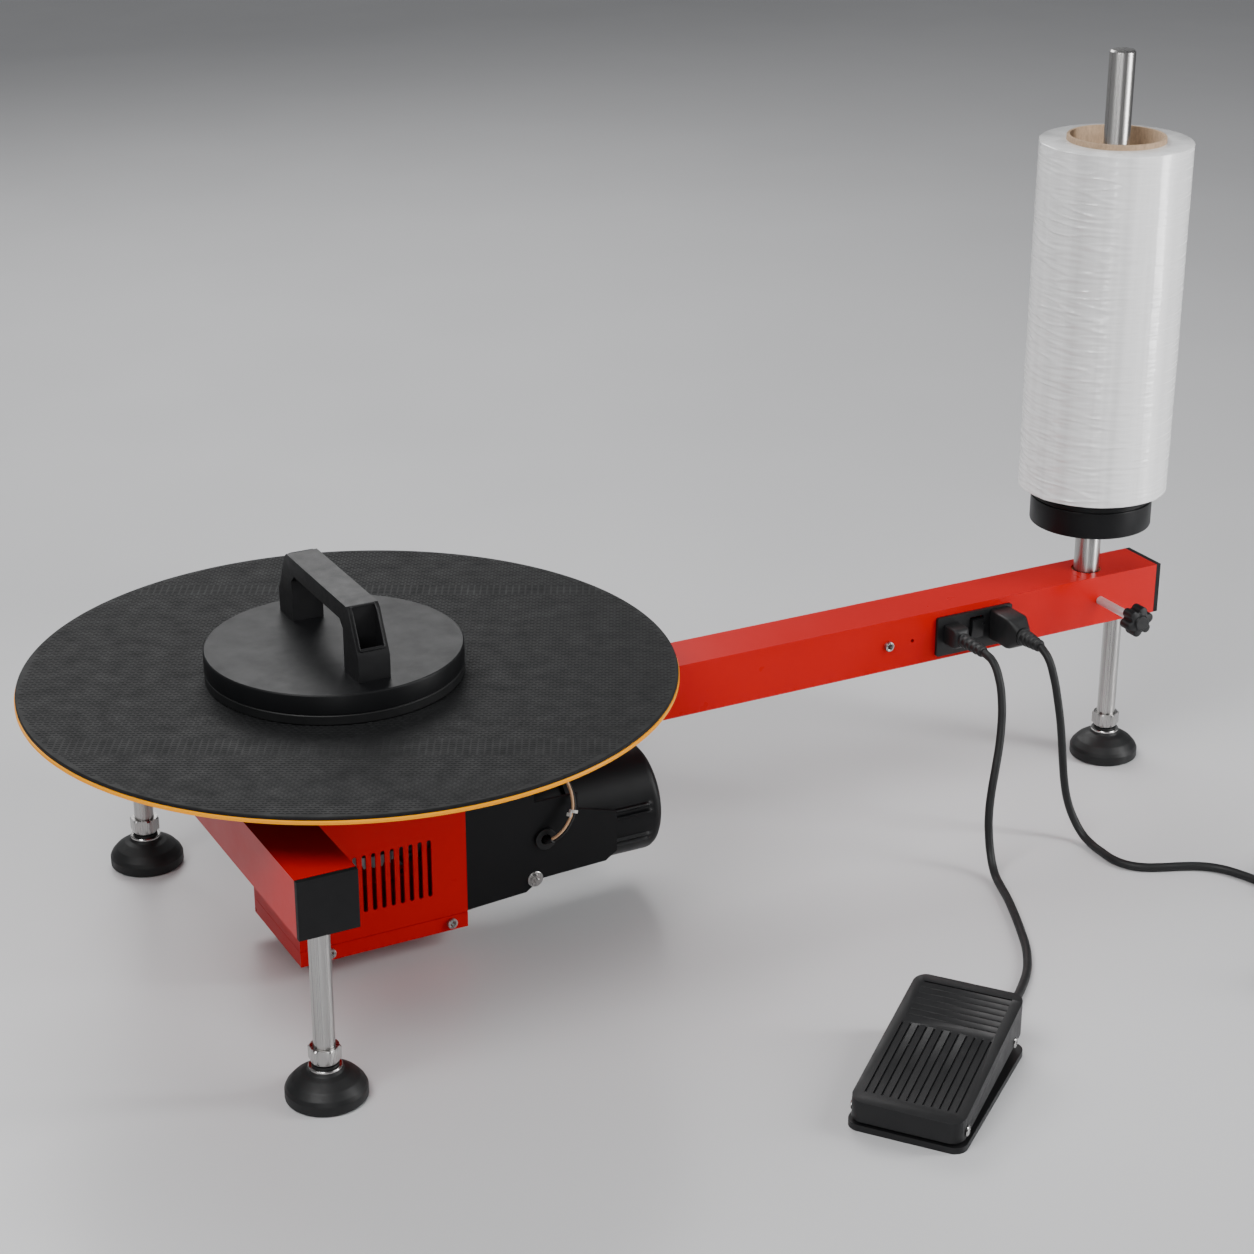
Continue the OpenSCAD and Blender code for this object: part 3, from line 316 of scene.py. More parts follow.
def make_finishes(colours):
    """Every finish by the name of its material slot"""
    post = middle("film_post")
    pale = (0.46, 0.45, 0.44)
    made = {
        "red_paint": gloss_paint("red_paint", colours.red),
        "black_paint": satin_paint("black_paint", colours.black),
        "black_plastic": moulded("black_plastic", colours.plastic),
        "cap_plastic": moulded("cap_plastic", colours.plastic, 0.58, 1500).set("Specular IOR Level", 0.2),
        "switch_plastic": moulded("switch_plastic", colours.plastic, 0.3, 1600, 0.00002),
        "mat_rubber": mat_rubber("mat_rubber", colours.rubber),
        "foot_rubber": soft_rubber("foot_rubber", colours.rubber, 0.5),
        "cord_rubber": soft_rubber("cord_rubber", [c * 1.3 for c in colours.rubber], 0.5, 0.00003),
        "polished_steel": steel("polished_steel", pale, 0.2, (260, 260, 3), AXIS),
        "brushed_steel": steel("brushed_steel", pale, 0.27, (420, 420, 2.5), post),
        # Steel of the gears, motor core, spindle, bearing housing and hub: a darker grey than bare machined
        # steel, as painted shade inside the casing and under the turntable
        "machined_steel": steel("machined_steel", (0.24, 0.24, 0.25), 0.4, (90, 90, 900), AXIS),
        "zinc_plated": steel("zinc_plated", (0.62, 0.62, 0.62), 0.42, (300, 300, 300), AXIS).set(
            "Metallic", 0.5),
        "bronze": cast_bronze("bronze", (0.56, 0.36, 0.17)),
        "yellow_edge": gloss_paint("yellow_edge", colours.edge),
        "film": stretch_film("film", colours.film, post),
        "cardboard": cardboard("cardboard", colours.card),
    }
    extra = {
        "tan_wire": moulded("tan_wire", (0.60, 0.36, 0.20), 0.4),
        "pale_tie": moulded("pale_tie", (0.66, 0.64, 0.60), 0.35),
    }
    return {key: value.mat for key, value in {**made, **extra}.items()}


finishes = {}


# ---- Mesh helpers ----


def link(obj):
    bpy.context.scene.collection.objects.link(obj)
    return obj


def dress(obj, finish, body, stands_for=()):
    """Gives a finished piece its material, its body and the nodes it stands for"""
    if obj.type == "MESH":
        obj.data.materials.clear()
    if not obj.data.materials:
        obj.data.materials.append(finishes[finish])
    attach(obj, body)
    if stands_for:
        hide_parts(*stands_for)
    return obj


def from_bmesh(name, bm, sharp=35):
    """An object from a bmesh, smooth except at edges sharper than the given angle"""
    mesh = bpy.data.meshes.new(name)
    bm.to_mesh(mesh)
    bm.free()
    mesh.shade_smooth()
    mesh.set_sharp_from_angle(angle=math.radians(sharp))
    return link(bpy.data.objects.new(name, mesh))


def rounded(points, radii, closed=True, steps=4):
    """A 2D outline whose corners are arcs; radii is one number or one per point"""
    if not hasattr(radii, "__len__"):
        radii = [radii] * len(points)
    made = []
    count = len(points)
    for i, (point, radius) in enumerate(zip(points, radii)):
        here = Vector(point)
        if radius <= 0 or (not closed and i in (0, count - 1)):
            made.append(tuple(here))
            continue
        before, after = Vector(points[i - 1]) - here, Vector(points[(i + 1) % count]) - here
        half = before.angle(after) / 2
        cut = min(radius / math.tan(half), before.length * 0.49, after.length * 0.49)
        start, end = here + before.normalized() * cut, here + after.normalized() * cut
        bulge = cut * math.tan(half)
        centre = here + (before.normalized() + after.normalized()).normalized() * (
            math.hypot(cut, bulge)
        )
        a, b = start - centre, end - centre
        sweep = a.angle_signed(b)
        for k in range(steps + 1):
            turn = -sweep * k / steps
            made.append(tuple(centre + Matrix.Rotation(turn, 2) @ a))
    return made


def grid_faces(bm, rings, closed_across, closed_along):
    """Quads between rings of vertices; a ring of one vertex is a pole"""
    pairs = list(zip(rings, rings[1:])) + ([(rings[-1], rings[0])] if closed_along else [])
    for low, high in pairs:
        count = max(len(low), len(high))
        for k in range(count if closed_across else count - 1):
            n = (k + 1) % count
            corners = [low[k % len(low)], low[n % len(low)], high[n % len(high)], high[k % len(high)]]
            unique = list(dict.fromkeys(corners))
            if len(unique) > 2:
                bm.faces.new(unique)


def lathe(name, profile, centre, axis=Z, segments=96, ring=False, shape=None, sharp=35):
    """A solid turned from (radius, height) points in millimetres, closed at the axis or as a ring

    shape(angle, radius, height) scales a point's radius.
    """
    turn = Z.rotation_difference(axis).to_matrix()
    bm = bmesh.new()
    rings = []
    for radius, height in profile:
        if radius < 1e-4:
            rings.append([bm.verts.new(centre + turn @ Vector((0, 0, height)) * MM)])
            continue
        loop = []
        for k in range(segments):
            angle = 2 * math.pi * k / segments
            reach = radius * (shape(angle, radius, height) if shape else 1)
            place = Vector((reach * math.cos(angle), reach * math.sin(angle), height)) * MM
            loop.append(bm.verts.new(centre + turn @ place))
        rings.append(loop)
    grid_faces(bm, rings, True, ring)
    bmesh.ops.recalc_face_normals(bm, faces=bm.faces)
    return from_bmesh(name, bm, sharp)


def prism(name, outline, depth, place, edge=0.0, segments=3, sharp=35):
    """An outline in millimetres pushed along its own Z by depth, then moved by place"""
    bm = bmesh.new()
    low = [bm.verts.new(Vector((x, y, 0)) * MM) for x, y in outline]
    high = [bm.verts.new(Vector((x, y, depth)) * MM) for x, y in outline]
    bm.faces.new(low)
    bm.faces.new(high)
    grid_faces(bm, [low, high], True, False)
    bmesh.ops.recalc_face_normals(bm, faces=bm.faces)
    bm.transform(place)
    obj = from_bmesh(name, bm, sharp)
    return soften(obj, edge, segments) if edge else obj


def soften(obj, width, segments=3, angle=32):
    """Rounds an object's sharp edges"""
    bevel = obj.modifiers.new("edges", "BEVEL")
    bevel.width = width
    bevel.segments = segments
    bevel.limit_method = "ANGLE"
    bevel.angle_limit = math.radians(angle)
    bevel.miter_outer = "MITER_ARC"
    bevel.harden_normals = True
    return obj


def node_mesh(node):
    """A merged bmesh copy of a node's mesh, with flat regions as single faces"""
    bm = bmesh.new()
    bm.from_mesh(frame["nodes"][node].data)
    for layer in list(bm.loops.layers.uv.values()):
        bm.loops.layers.uv.remove(layer)
    bmesh.ops.remove_doubles(bm, verts=bm.verts, dist=1e-6)
    bmesh.ops.dissolve_limit(
        bm, angle_limit=math.radians(0.6), verts=bm.verts, edges=bm.edges, use_dissolve_boundaries=False
    )
    bm.verts.index_update()
    clean = bmesh.new()
    corners = [clean.verts.new(v.co) for v in bm.verts]
    for face in bm.faces:
        clean.faces.new([corners[v.index] for v in face.verts])
    bm.free()
    return clean


def softened(name, node, width, finish, segments=3, cutters=(), longer=0.0):
    """A node's own shape with rounded edges and any cuts, standing for the node

    With longer, only edges of at least that length are rounded.
    """
    bm = node_mesh(node)
    if longer:
        weight = bm.edges.layers.float.new("bevel_weight_edge")
        for edge in bm.edges:
            if edge.calc_length() > longer and edge.calc_face_angle(0) > math.radians(32):
                edge[weight] = 1.0
    obj = soften(from_bmesh(name, bm, 30), width, segments)
    if longer:
        obj.modifiers[0].limit_method = "WEIGHT"
    for cutter in cutters:
        cut = obj.modifiers.new("cut", "BOOLEAN")
        cut.operation = "DIFFERENCE"
        cut.solver = "EXACT"
        cut.object = cutter
    if cutters:
        obj = baked(obj)
        for cutter in cutters:
            bpy.data.objects.remove(cutter)
    return dress(obj, finish, frame["nodes"][node]["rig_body"], stands_for=(node,))


def baked(obj, name=None, sharp=30):
    """The object with its modifiers applied, as a plain mesh"""
    bpy.context.view_layer.update()
    graph = bpy.context.evaluated_depsgraph_get()
    mesh = bpy.data.meshes.new_from_object(obj.evaluated_get(graph), depsgraph=graph)
    name = name or obj.name
    old = obj.data
    bpy.data.objects.remove(obj)
    if isinstance(old, bpy.types.Mesh) and not old.users:
        bpy.data.meshes.remove(old)
    mesh.name = name
    mesh.shade_smooth()
    mesh.set_sharp_from_angle(angle=math.radians(sharp))
    return link(bpy.data.objects.new(name, mesh))


def joined(name, parts):
    """Several objects' meshes as one, with their modifiers applied"""
    bm = bmesh.new()
    for part in parts:
        plain = baked(part)
        bm.from_mesh(plain.data)
        data = plain.data
        bpy.data.objects.remove(plain)
        bpy.data.meshes.remove(data)
    return from_bmesh(name, bm)


def strand(name, points, diameter, finish, body, stands_for=(), around=5, steps=6):
    """A round cord, wire or strap edge on one smooth curve through its points"""
    curve = bpy.data.curves.new(name, "CURVE")
    curve.dimensions = "3D"
    curve.bevel_depth = diameter / 2
    curve.bevel_resolution = around
    curve.resolution_u = steps
    curve.use_fill_caps = True
    spline = curve.splines.new("BEZIER")
    spline.bezier_points.add(len(points) - 1)
    for knot, point in zip(spline.bezier_points, points):
        knot.co = point
        knot.handle_left_type = knot.handle_right_type = "AUTO"
    obj = link(bpy.data.objects.new(name, curve))
    curve.materials.append(finishes[finish])
    return dress(obj, finish, body, stands_for)


def bead(name, points, diameter, corner):
    """A closed round bead through points, with rounded corners"""
    curve = bpy.data.curves.new(name, "CURVE")
    curve.dimensions = "3D"
    curve.bevel_depth = diameter / 2
    curve.bevel_resolution = 3
    spline = curve.splines.new("POLY")
    path = []
    for i, here in enumerate(points):
        before, after = points[i - 1] - here, points[(i + 1) % len(points)] - here
        cut = min(corner * MM, before.length * 0.4, after.length * 0.4)
        start, end = here + before.normalized() * cut, here + after.normalized() * cut
        path += [start, start.lerp(here, 0.55).lerp(here.lerp(end, 0.45), 0.5), end]
    spline.points.add(len(path) - 1)
    for knot, place in zip(spline.points, path):
        knot.co = (*place, 1)
    spline.use_cyclic_u = True
    return link(bpy.data.objects.new(name, curve))


def curve_length(obj):
    """Length of a curve object's centreline"""
    total = 0.0
    for knot, following in zip(
        obj.data.splines[0].bezier_points, obj.data.splines[0].bezier_points[1:]
    ):
        steps = interpolate_bezier(
            knot.co, knot.handle_right, following.handle_left, following.co, 24
        )
        total += sum((b - a).length for a, b in zip(steps, steps[1:]))
    return total


# ---- Repeats made by Geometry Nodes ----


def new_tree(name, sockets):
    """A node group with a geometry output and the named inputs; gives the group and its ends"""
    tree = bpy.data.node_groups.new(name, "GeometryNodeTree")
    for label, kind in sockets:
        tree.interface.new_socket(label, in_out="INPUT", socket_type=kind)
    tree.interface.new_socket("Result", in_out="OUTPUT", socket_type="NodeSocketGeometry")
    return tree, tree.nodes.new("NodeGroupInput"), tree.nodes.new("NodeGroupOutput")


def finish_tree(tree, ends, instances):
    """Realizes the instances, gives them the finish and sends them out"""
    start, end = ends
    real = tree.nodes.new("GeometryNodeRealizeInstances")
    paint = tree.nodes.new("GeometryNodeSetMaterial")
    tree.links.new(instances, real.inputs[0])
    tree.links.new(real.outputs[0], paint.inputs["Geometry"])
    tree.links.new(start.outputs["Finish"], paint.inputs["Material"])
    tree.links.new(paint.outputs[0], end.inputs[0])
    return tree


def stamp_tree():
    """Puts a shape on every point, turned by the point's own rotation"""
    tree, start, end = new_tree(
        "stamp",
        (
            ("Points", "NodeSocketGeometry"),
            ("Shape", "NodeSocketObject"),
            ("Size", "NodeSocketFloat"),
            ("Finish", "NodeSocketMaterial"),
        ),
    )
    shape = tree.nodes.new("GeometryNodeObjectInfo")
    turn = tree.nodes.new("GeometryNodeInputNamedAttribute")
    turn.data_type = "QUATERNION"
    turn.inputs["Name"].default_value = "turn"
    put = tree.nodes.new("GeometryNodeInstanceOnPoints")
    tree.links.new(start.outputs["Shape"], shape.inputs["Object"])
    tree.links.new(start.outputs["Points"], put.inputs["Points"])
    tree.links.new(shape.outputs["Geometry"], put.inputs["Instance"])
    tree.links.new(turn.outputs["Attribute"], put.inputs["Rotation"])
    tree.links.new(start.outputs["Size"], put.inputs["Scale"])
    return finish_tree(tree, (start, end), put.outputs[0])


def rib_tree():
    """Puts ribs in staggered rows over a disc"""
    tree, start, end = new_tree(
        "ribs",
        (
            ("Points", "NodeSocketGeometry"),
            ("Rib", "NodeSocketObject"),
            ("Radius", "NodeSocketFloat"),
            ("Pitch", "NodeSocketFloat"),
            ("Row", "NodeSocketFloat"),
            ("Turn", "NodeSocketFloat"),
            ("Finish", "NodeSocketMaterial"),
        ),
    )
    nodes, links = tree.nodes, tree.links

    def math_node(operation, first, second):
        made = nodes.new("ShaderNodeMath")
        made.operation = operation
        for socket, value in zip(made.inputs, (first, second)):
            if isinstance(value, (int, float)):
                socket.default_value = value
            else:
                links.new(value, socket)
        return made.outputs[0]

    across = math_node("MULTIPLY", start.outputs["Radius"], 2)
    grid = nodes.new("GeometryNodeMeshGrid")
    for size, count, pitch in (("Size X", "Vertices X", "Pitch"), ("Size Y", "Vertices Y", "Row")):
        number = math_node("ROUND", math_node("DIVIDE", across, start.outputs[pitch]), 0)
        links.new(number, grid.inputs[count])
        links.new(math_node("MULTIPLY", math_node("SUBTRACT", number, 1), start.outputs[pitch]),
                  grid.inputs[size])
    place = nodes.new("GeometryNodeInputPosition")
    apart = nodes.new("ShaderNodeSeparateXYZ")
    links.new(place.outputs[0], apart.inputs[0])
    row = math_node("ROUND", math_node("DIVIDE", apart.outputs["Y"], start.outputs["Row"]), 0)
    odd = math_node("FLOORED_MODULO", row, 2)
    shift = nodes.new("ShaderNodeCombineXYZ")
    links.new(math_node("MULTIPLY", odd, math_node("MULTIPLY", start.outputs["Pitch"], 0.5)),
              shift.inputs["X"])
    move = nodes.new("GeometryNodeSetPosition")
    links.new(grid.outputs["Mesh"], move.inputs["Geometry"])
    links.new(shift.outputs[0], move.inputs["Offset"])
    reach = nodes.new("ShaderNodeVectorMath")
    reach.operation = "LENGTH"
    links.new(place.outputs[0], reach.inputs[0])
    trim = nodes.new("GeometryNodeDeleteGeometry")
    links.new(move.outputs[0], trim.inputs["Geometry"])
    links.new(math_node("GREATER_THAN", reach.outputs["Value"], start.outputs["Radius"]),
              trim.inputs["Selection"])
    shape = nodes.new("GeometryNodeObjectInfo")
    links.new(start.outputs["Rib"], shape.inputs["Object"])
    put = nodes.new("GeometryNodeInstanceOnPoints")
    links.new(trim.outputs[0], put.inputs["Points"])
    links.new(shape.outputs["Geometry"], put.inputs["Instance"])
    turned = nodes.new("GeometryNodeTransform")
    spin = nodes.new("ShaderNodeCombineXYZ")
    links.new(start.outputs["Turn"], spin.inputs["Z"])
    links.new(put.outputs[0], turned.inputs["Geometry"])
    links.new(spin.outputs[0], turned.inputs["Rotation"])
    return finish_tree(tree, (start, end), turned.outputs[0])


def run_tree(obj, tree, values):
    """The plain mesh that a node group makes on an object, with its named inputs set"""
    change = obj.modifiers.new("nodes", "NODES")
    change.node_group = tree
    sockets = {s.name: s.identifier for s in tree.interface.items_tree if s.in_out == "INPUT"}
    for label, value in values.items():
        change[sockets[label]] = value
    return baked(obj)


def stamped(name, shape, spots, finish, body, stands_for=()):
    """Copies of a small shape, drawn about the origin facing +Z, at (point, direction) spots"""
    mesh = bpy.data.meshes.new(name)
    mesh.from_pydata([tuple(point) for point, _ in spots], [], [])
    turns = mesh.attributes.new("turn", "QUATERNION", "POINT")
    for entry, (_, direction) in zip(turns.data, spots):
        entry.value = Z.rotation_difference(Vector(direction))
    host = link(bpy.data.objects.new(name, mesh))
    tree = bpy.data.node_groups.get("stamp") or stamp_tree()
    made = run_tree(host, tree, {"Shape": shape, "Size": 1.0, "Finish": finishes[finish]})
    bpy.data.objects.remove(shape)
    return dress(made, finish, body, stands_for)


# ---- Shapes used more than once ----


def ring_points(width, height, radius, out, place, steps=4):
    """A rounded rectangle in millimetres at a height along its own Z, moved by place"""
    w, h = width / 2, height / 2
    outline = rounded(((w, -h), (w, h), (-w, h), (-w, -h)), radius, steps=steps)
    return [place @ (Vector((x, y, out)) * MM) for x, y in outline]


def loft(name, sections, sharp=35):
    """A solid through rings with the same number of points, closed at both ends"""
    bm = bmesh.new()
    rings = [[bm.verts.new(p) for p in section] for section in sections]
    bm.faces.new(rings[0])
    bm.faces.new(rings[-1])
    grid_faces(bm, rings, True, False)
    bmesh.ops.recalc_face_normals(bm, faces=bm.faces)
    return from_bmesh(name, bm, sharp)


def facing(origin, right, up):
    """A matrix whose X is right, Y is up and Z points outwards"""
    right, up = Vector(right).normalized(), Vector(up).normalized()
    made = Matrix((right, up, right.cross(up))).transposed().to_4x4()
    made.translation = origin
    return made


def ribbed_profile(start, end, low, high, ribs, rib):
    """A profile that tapers from one radius to another between two heights, with round ribs"""
    pitch = (high - low) / ribs
    made = [(0, low), (start, low)]
    for i in range(ribs):
        here = low + i * pitch
        radius = start + (end - start) * i / ribs
        made += [
            (radius, here + pitch * 0.12),
            (radius + rib, here + pitch * 0.24),
            (radius + rib, here + pitch * 0.58),
            (radius - rib * 0.3, here + pitch * 0.72),
            (radius - rib * 0.3, here + pitch * 0.98),
        ]
    return made + [(end, high), (0, high)]


def hexagon(flats, corner, within=1e9):
    """Scales a corner radius down to a hexagon's flats, for radii up to within"""

    def reach(angle, radius, _height):
        part = (angle + math.pi / 6) % (math.pi / 3) - math.pi / 6
        return min(1.0, flats / 2 / math.cos(part) / corner) if radius <= within else 1.0

    return reach


def hex_prism(name, flats, low, high, centre, axis=Z, chamfer=0.8):
    """A hexagon with chamfered corners about an axis"""
    corner = flats / 2 / math.cos(math.pi / 6)
    inner = flats / 2 * 1.01
    profile = ((0, low), (inner, low), (corner, low + chamfer), (corner, high - chamfer),
               (inner, high), (0, high))

    def reach(angle, radius, height):
        part = (angle + math.pi / 6) % (math.pi / 3) - math.pi / 6
        return min(1.0, flats / 2 / math.cos(part) / radius)

    return lathe(name, profile, centre, axis, 72, shape=reach, sharp=25)


def socket_head(name, radius, height, flats, low=0.0):
    """A round screw head with a hexagon socket, facing +Z from the origin"""
    corner = flats / 2 / math.cos(math.pi / 6)
    profile = ((0, low), (radius, low), (radius, height - 0.6), (radius - 0.2, height - 0.2),
               (radius - 0.6, height), (corner + 0.2, height), (corner, height - 0.2),
               (corner, low + 0.6), (0, low + 0.5))
    return lathe(name, profile, Vector(), Z, 48, shape=hexagon(flats, corner, corner + 1e-3), sharp=28)


# ---- Routes and places, in millimetres ----

MAINS_ROUTE = (
    (583, -86, 166), (583.5, -97, 159), (584.5, -105, 144), (586.5, -109, 126),
    (588.5, -112, 107), (590, -114, 88), (591.5, -115.5, 69), (593.5, -117, 50),
    (596.5, -119.5, 33), (600.5, -125, 17.5), (603, -134, 7.5), (603.5, -147, 3.6),
    (602.5, -162, 3.6), (602.5, -176, 3.6), (606.5, -189, 3.6), (616, -199.5, 3.6),
    (630, -207, 3.6), (646, -213.5, 3.6), (660, -221, 3.6), (671, -231.5, 3.6),
    (678.5, -245, 3.6), (684, -260, 3.6), (688.5, -276, 3.6),
)
TAIL_ROUTE = (
    (690, -308, 8), (688.5, -324, 5), (684.5, -339, 3.6),
    (677.5, -353, 5), (667.5, -366, 9), (655, -380, 13),
)
PEDAL_ROUTE = (
    (534, -74, 166), (534.2, -87, 162.5), (533.5, -98, 150.5), (531.5, -106, 134),
    (528, -112, 117), (522.5, -118, 100), (516, -123.5, 83), (510, -128, 65),
    (506, -132, 47), (504, -136.5, 30), (501.5, -144.5, 15), (497.5, -156.5, 6),
    (492.5, -172, 3.6), (486, -190, 3.6), (478.5, -208, 3.6), (470.5, -226, 3.6),
    (462, -244, 3.6), (453, -262, 3.6), (442.5, -279, 3.6), (430.5, -295, 3.6),
    (416, -310, 3.6), (401, -323.5, 4.4), (387, -333.5, 7), (373.5, -341.5, 9.8),
    (359.9, -348.8, 11),
)
COIL = (735, -292)
CORD = 7.0
FACE = -22.5  # front of the arm
PANEL = -25.5  # front of the connection panel
JACKS = 166  # height of its sockets
FILM_X = 692
PEDAL = Matrix.Translation(at(280, -396, 0)) @ Matrix.Rotation(math.radians(38), 4, "Z")


def ease(share):
    share = min(max(share, 0.0), 1.0)
    return share * share * (3 - 2 * share)


def coil_route(per_turn=16):
    """Three turns inwards on the floor and two outwards on top of them, crossing once"""
    made = []
    for k in range(5 * per_turn + 1):
        t = k / per_turn
        turn, part = divmod(t, 1)
        if turn < 2:
            radius = 45 - 7 * turn - 7 * ease((part - 0.8) / 0.2)
        elif turn < 3:
            radius = 31
        else:
            radius = 31 + 7 * (turn - 3) + 7 * ease((part - 0.33) / 0.22)
        if k == 5 * per_turn:
            radius = 45
        angle = math.pi + 2 * math.pi * t
        height = 3.6 + 7 * ease((t - 2.55) / 0.25)
        made.append((COIL[0] + radius * math.cos(angle), COIL[1] + radius * math.sin(angle), height))
    return made


def pedal_at(u, v, z):
    """A point given along the pedal, across it and above the floor"""
    return PEDAL @ (Vector((u, v, z)) * MM)


# ---- Operators ----


class WrapperStep:
    """What every step shares: the settings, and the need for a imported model"""

    bl_options = {"REGISTER", "UNDO"}

    @classmethod
    def poll(cls, _context):
        return bool(frame["nodes"])

    @property
    def sizes(self):
        return bpy.context.scene.wrapper_sizes

    @property
    def colours(self):
        return bpy.context.scene.wrapper_colours


class WRAPPER_OT_camera(WrapperStep, bpy.types.Operator):
    """Adds the camera at the set viewing angle"""

    bl_idname = "wrapper.camera"
    bl_label = "Camera"

    def execute(self, context):
        data = bpy.data.cameras.new("camera")
        data.lens = 76.35
        data.sensor_width = 36
        data.clip_end = 50
        camera = link(bpy.data.objects.new("camera", data))
        camera.location = at(-673.9, -1734.1, 1042.6)
        camera.rotation_euler = Euler((math.radians(67.21), 0, math.radians(-27.72)))
        context.scene.camera = camera
        return {"FINISHED"}


class WRAPPER_OT_finishes(WrapperStep, bpy.types.Operator):
    """Makes every material"""

    bl_idname = "wrapper.finishes"
    bl_label = "Finishes"

    def execute(self, context):
        finishes.update(make_finishes(self.colours))
        return {"FINISHED"}


def relief(name, x, start, end, low, high):
    """A ribbed strain relief along -Y from the panel's connectors"""
    profile = ribbed_profile(start, end, 0, low - high, 5, 0.75)
    obj = lathe(name, profile, at(x, low, JACKS), -Y, 40)
    return soften(obj, 0.25 * MM, 2, 25)


class WRAPPER_OT_mains_lead(WrapperStep, bpy.types.Operator):
    """Lays the mains lead: its cord, connector, plug and the tie round its coil"""

    bl_idname = "wrapper.mains_lead"
    bl_label = "Mains lead"

    def execute(self, context):
        points = [at(*p) for p in (*MAINS_ROUTE, *coil_route(), *TAIL_ROUTE)]
        cord = strand("mains_cord_curve", points, CORD * MM, "cord_rubber", "frame",
                      stands_for=("mains_cord", "mains_coil"))
        place = facing(at(583, PANEL, JACKS), X, Z)
        block = loft("connector_block", [
            ring_points(w, h, r, out, place)
            for w, h, r, out in (
                (15, 22, 1, -7.8), (15, 22, 1, -0.2), (19, 26, 1.6, 0.05), (20, 27, 2, 0.6),
                (20, 27, 2, 18), (20.4, 27, 2.2, 24), (19.4, 26.4, 3, 26.8), (17.2, 23, 4.4, 30),
                (15.8, 18.6, 5, 33.2), (14.4, 16, 5.6, 35.2),
            )
        ])
        tail = relief("connector_relief", 583, 6.5, 4, -60, -86)
        connector = joined("mains_connector_body", [block, tail])
        dress(connector, "cord_rubber", "frame", stands_for=("mains_connector",))

        turned = Matrix.Translation(at(655, -380, 13)) @ Matrix.Rotation(math.radians(225), 4, "Z")
        along = (turned.to_3x3() @ X).normalized()
        place = turned @ facing(Vector(), Y, Z)
        body = loft("plug_block", [
            ring_points(w, h, r, out, place)
            for w, h, r, out in (
                (13, 12, 5, 26), (20, 18, 6, 29), (29, 25.4, 5, 33), (30, 25.8, 4, 39.5),
                (35, 25.8, 4, 42), (36, 25.8, 4, 44), (36, 25.8, 4, 60.5), (34.6, 24.6, 4, 61.9),
            )
        ])
        ribs = lathe("plug_relief", ribbed_profile(4, 6.2, 0, 27.5, 4, 0.7), at(655, -380, 13), along, 40)
        plug = joined("mains_plug_body", [body, ribs])
        dress(plug, "cord_rubber", "frame", stands_for=("mains_plug",))
        pins = []
        for side in (-1, 1):
            foot = turned @ (Vector((61.8, side * 9.5, 0)) * MM)
            profile = ((0, 0), (2.4, 0), (2.4, 17.6), (2, 18.6), (1.2, 19.1), (0, 19.2))
            pins.append(lathe("pin", profile, foot, along, 24))
        pins = dress(joined("mains_plug_pins", pins), "polished_steel", "frame")

        # A strap round the coil's two layers
        sections = []
        for k in range(25):
            a = 2 * math.pi * k / 24
            w, h = 12.6, 8.0
            px = math.copysign(abs(math.cos(a)) ** 0.5, math.cos(a)) * w
            pz = math.copysign(abs(math.sin(a)) ** 0.6, math.sin(a)) * h
            sections.append((px, pz))
        bm = bmesh.new()
        rings = []
        for px, pz in sections[:-1]:
            scale = 1 + 0.7 / math.hypot(px, pz)
            loop = []
            for side, far in ((-4, 1), (4, 1), (4, scale), (-4, scale)):
                height = max(7.1 + pz * far, 0.15)
                loop.append(bm.verts.new(at(COIL[0] + 38 + px * far, COIL[1] + side, height)))
            rings.append(loop)
        grid_faces(bm, rings, True, True)
        bmesh.ops.recalc_face_normals(bm, faces=bm.faces)
        tie = dress(from_bmesh("coil_tie", bm, 40), "cord_rubber", "frame")
        curve_length(cord)
        return {"FINISHED"}


class WRAPPER_OT_pedal_lead(WrapperStep, bpy.types.Operator):
    """Lays the foot pedal's lead and its plug"""

    bl_idname = "wrapper.pedal_lead"
    bl_label = "Pedal lead"

    def execute(self, context):
        cord = strand("pedal_cord_curve", [at(*p) for p in PEDAL_ROUTE], CORD * MM, "cord_rubber",
                      "frame", stands_for=("pedal_cord",))
        place = facing(at(534, PANEL, JACKS), X, Z)
        block = loft("pedal_plug_block", [
            ring_points(w, h, r, out, place)
            for w, h, r, out in (
                (10, 12, 1, -6.8), (10, 12, 1, -0.2), (14, 16, 1.2, 0.05), (15, 17, 1.6, 0.6),
                (15, 17, 1.6, 13.6), (14.4, 16.4, 2.4, 15.4), (12, 13, 3.4, 17.4), (10.4, 10.8, 4, 18),
            )
        ])
        tail = relief("pedal_plug_relief", 534, 5.25, 4, -42.9, -74)
        plug = joined("pedal_plug_body", [block, tail])
        dress(plug, "cord_rubber", "frame", stands_for=("pedal_plug",))
        curve_length(cord)
        return {"FINISHED"}


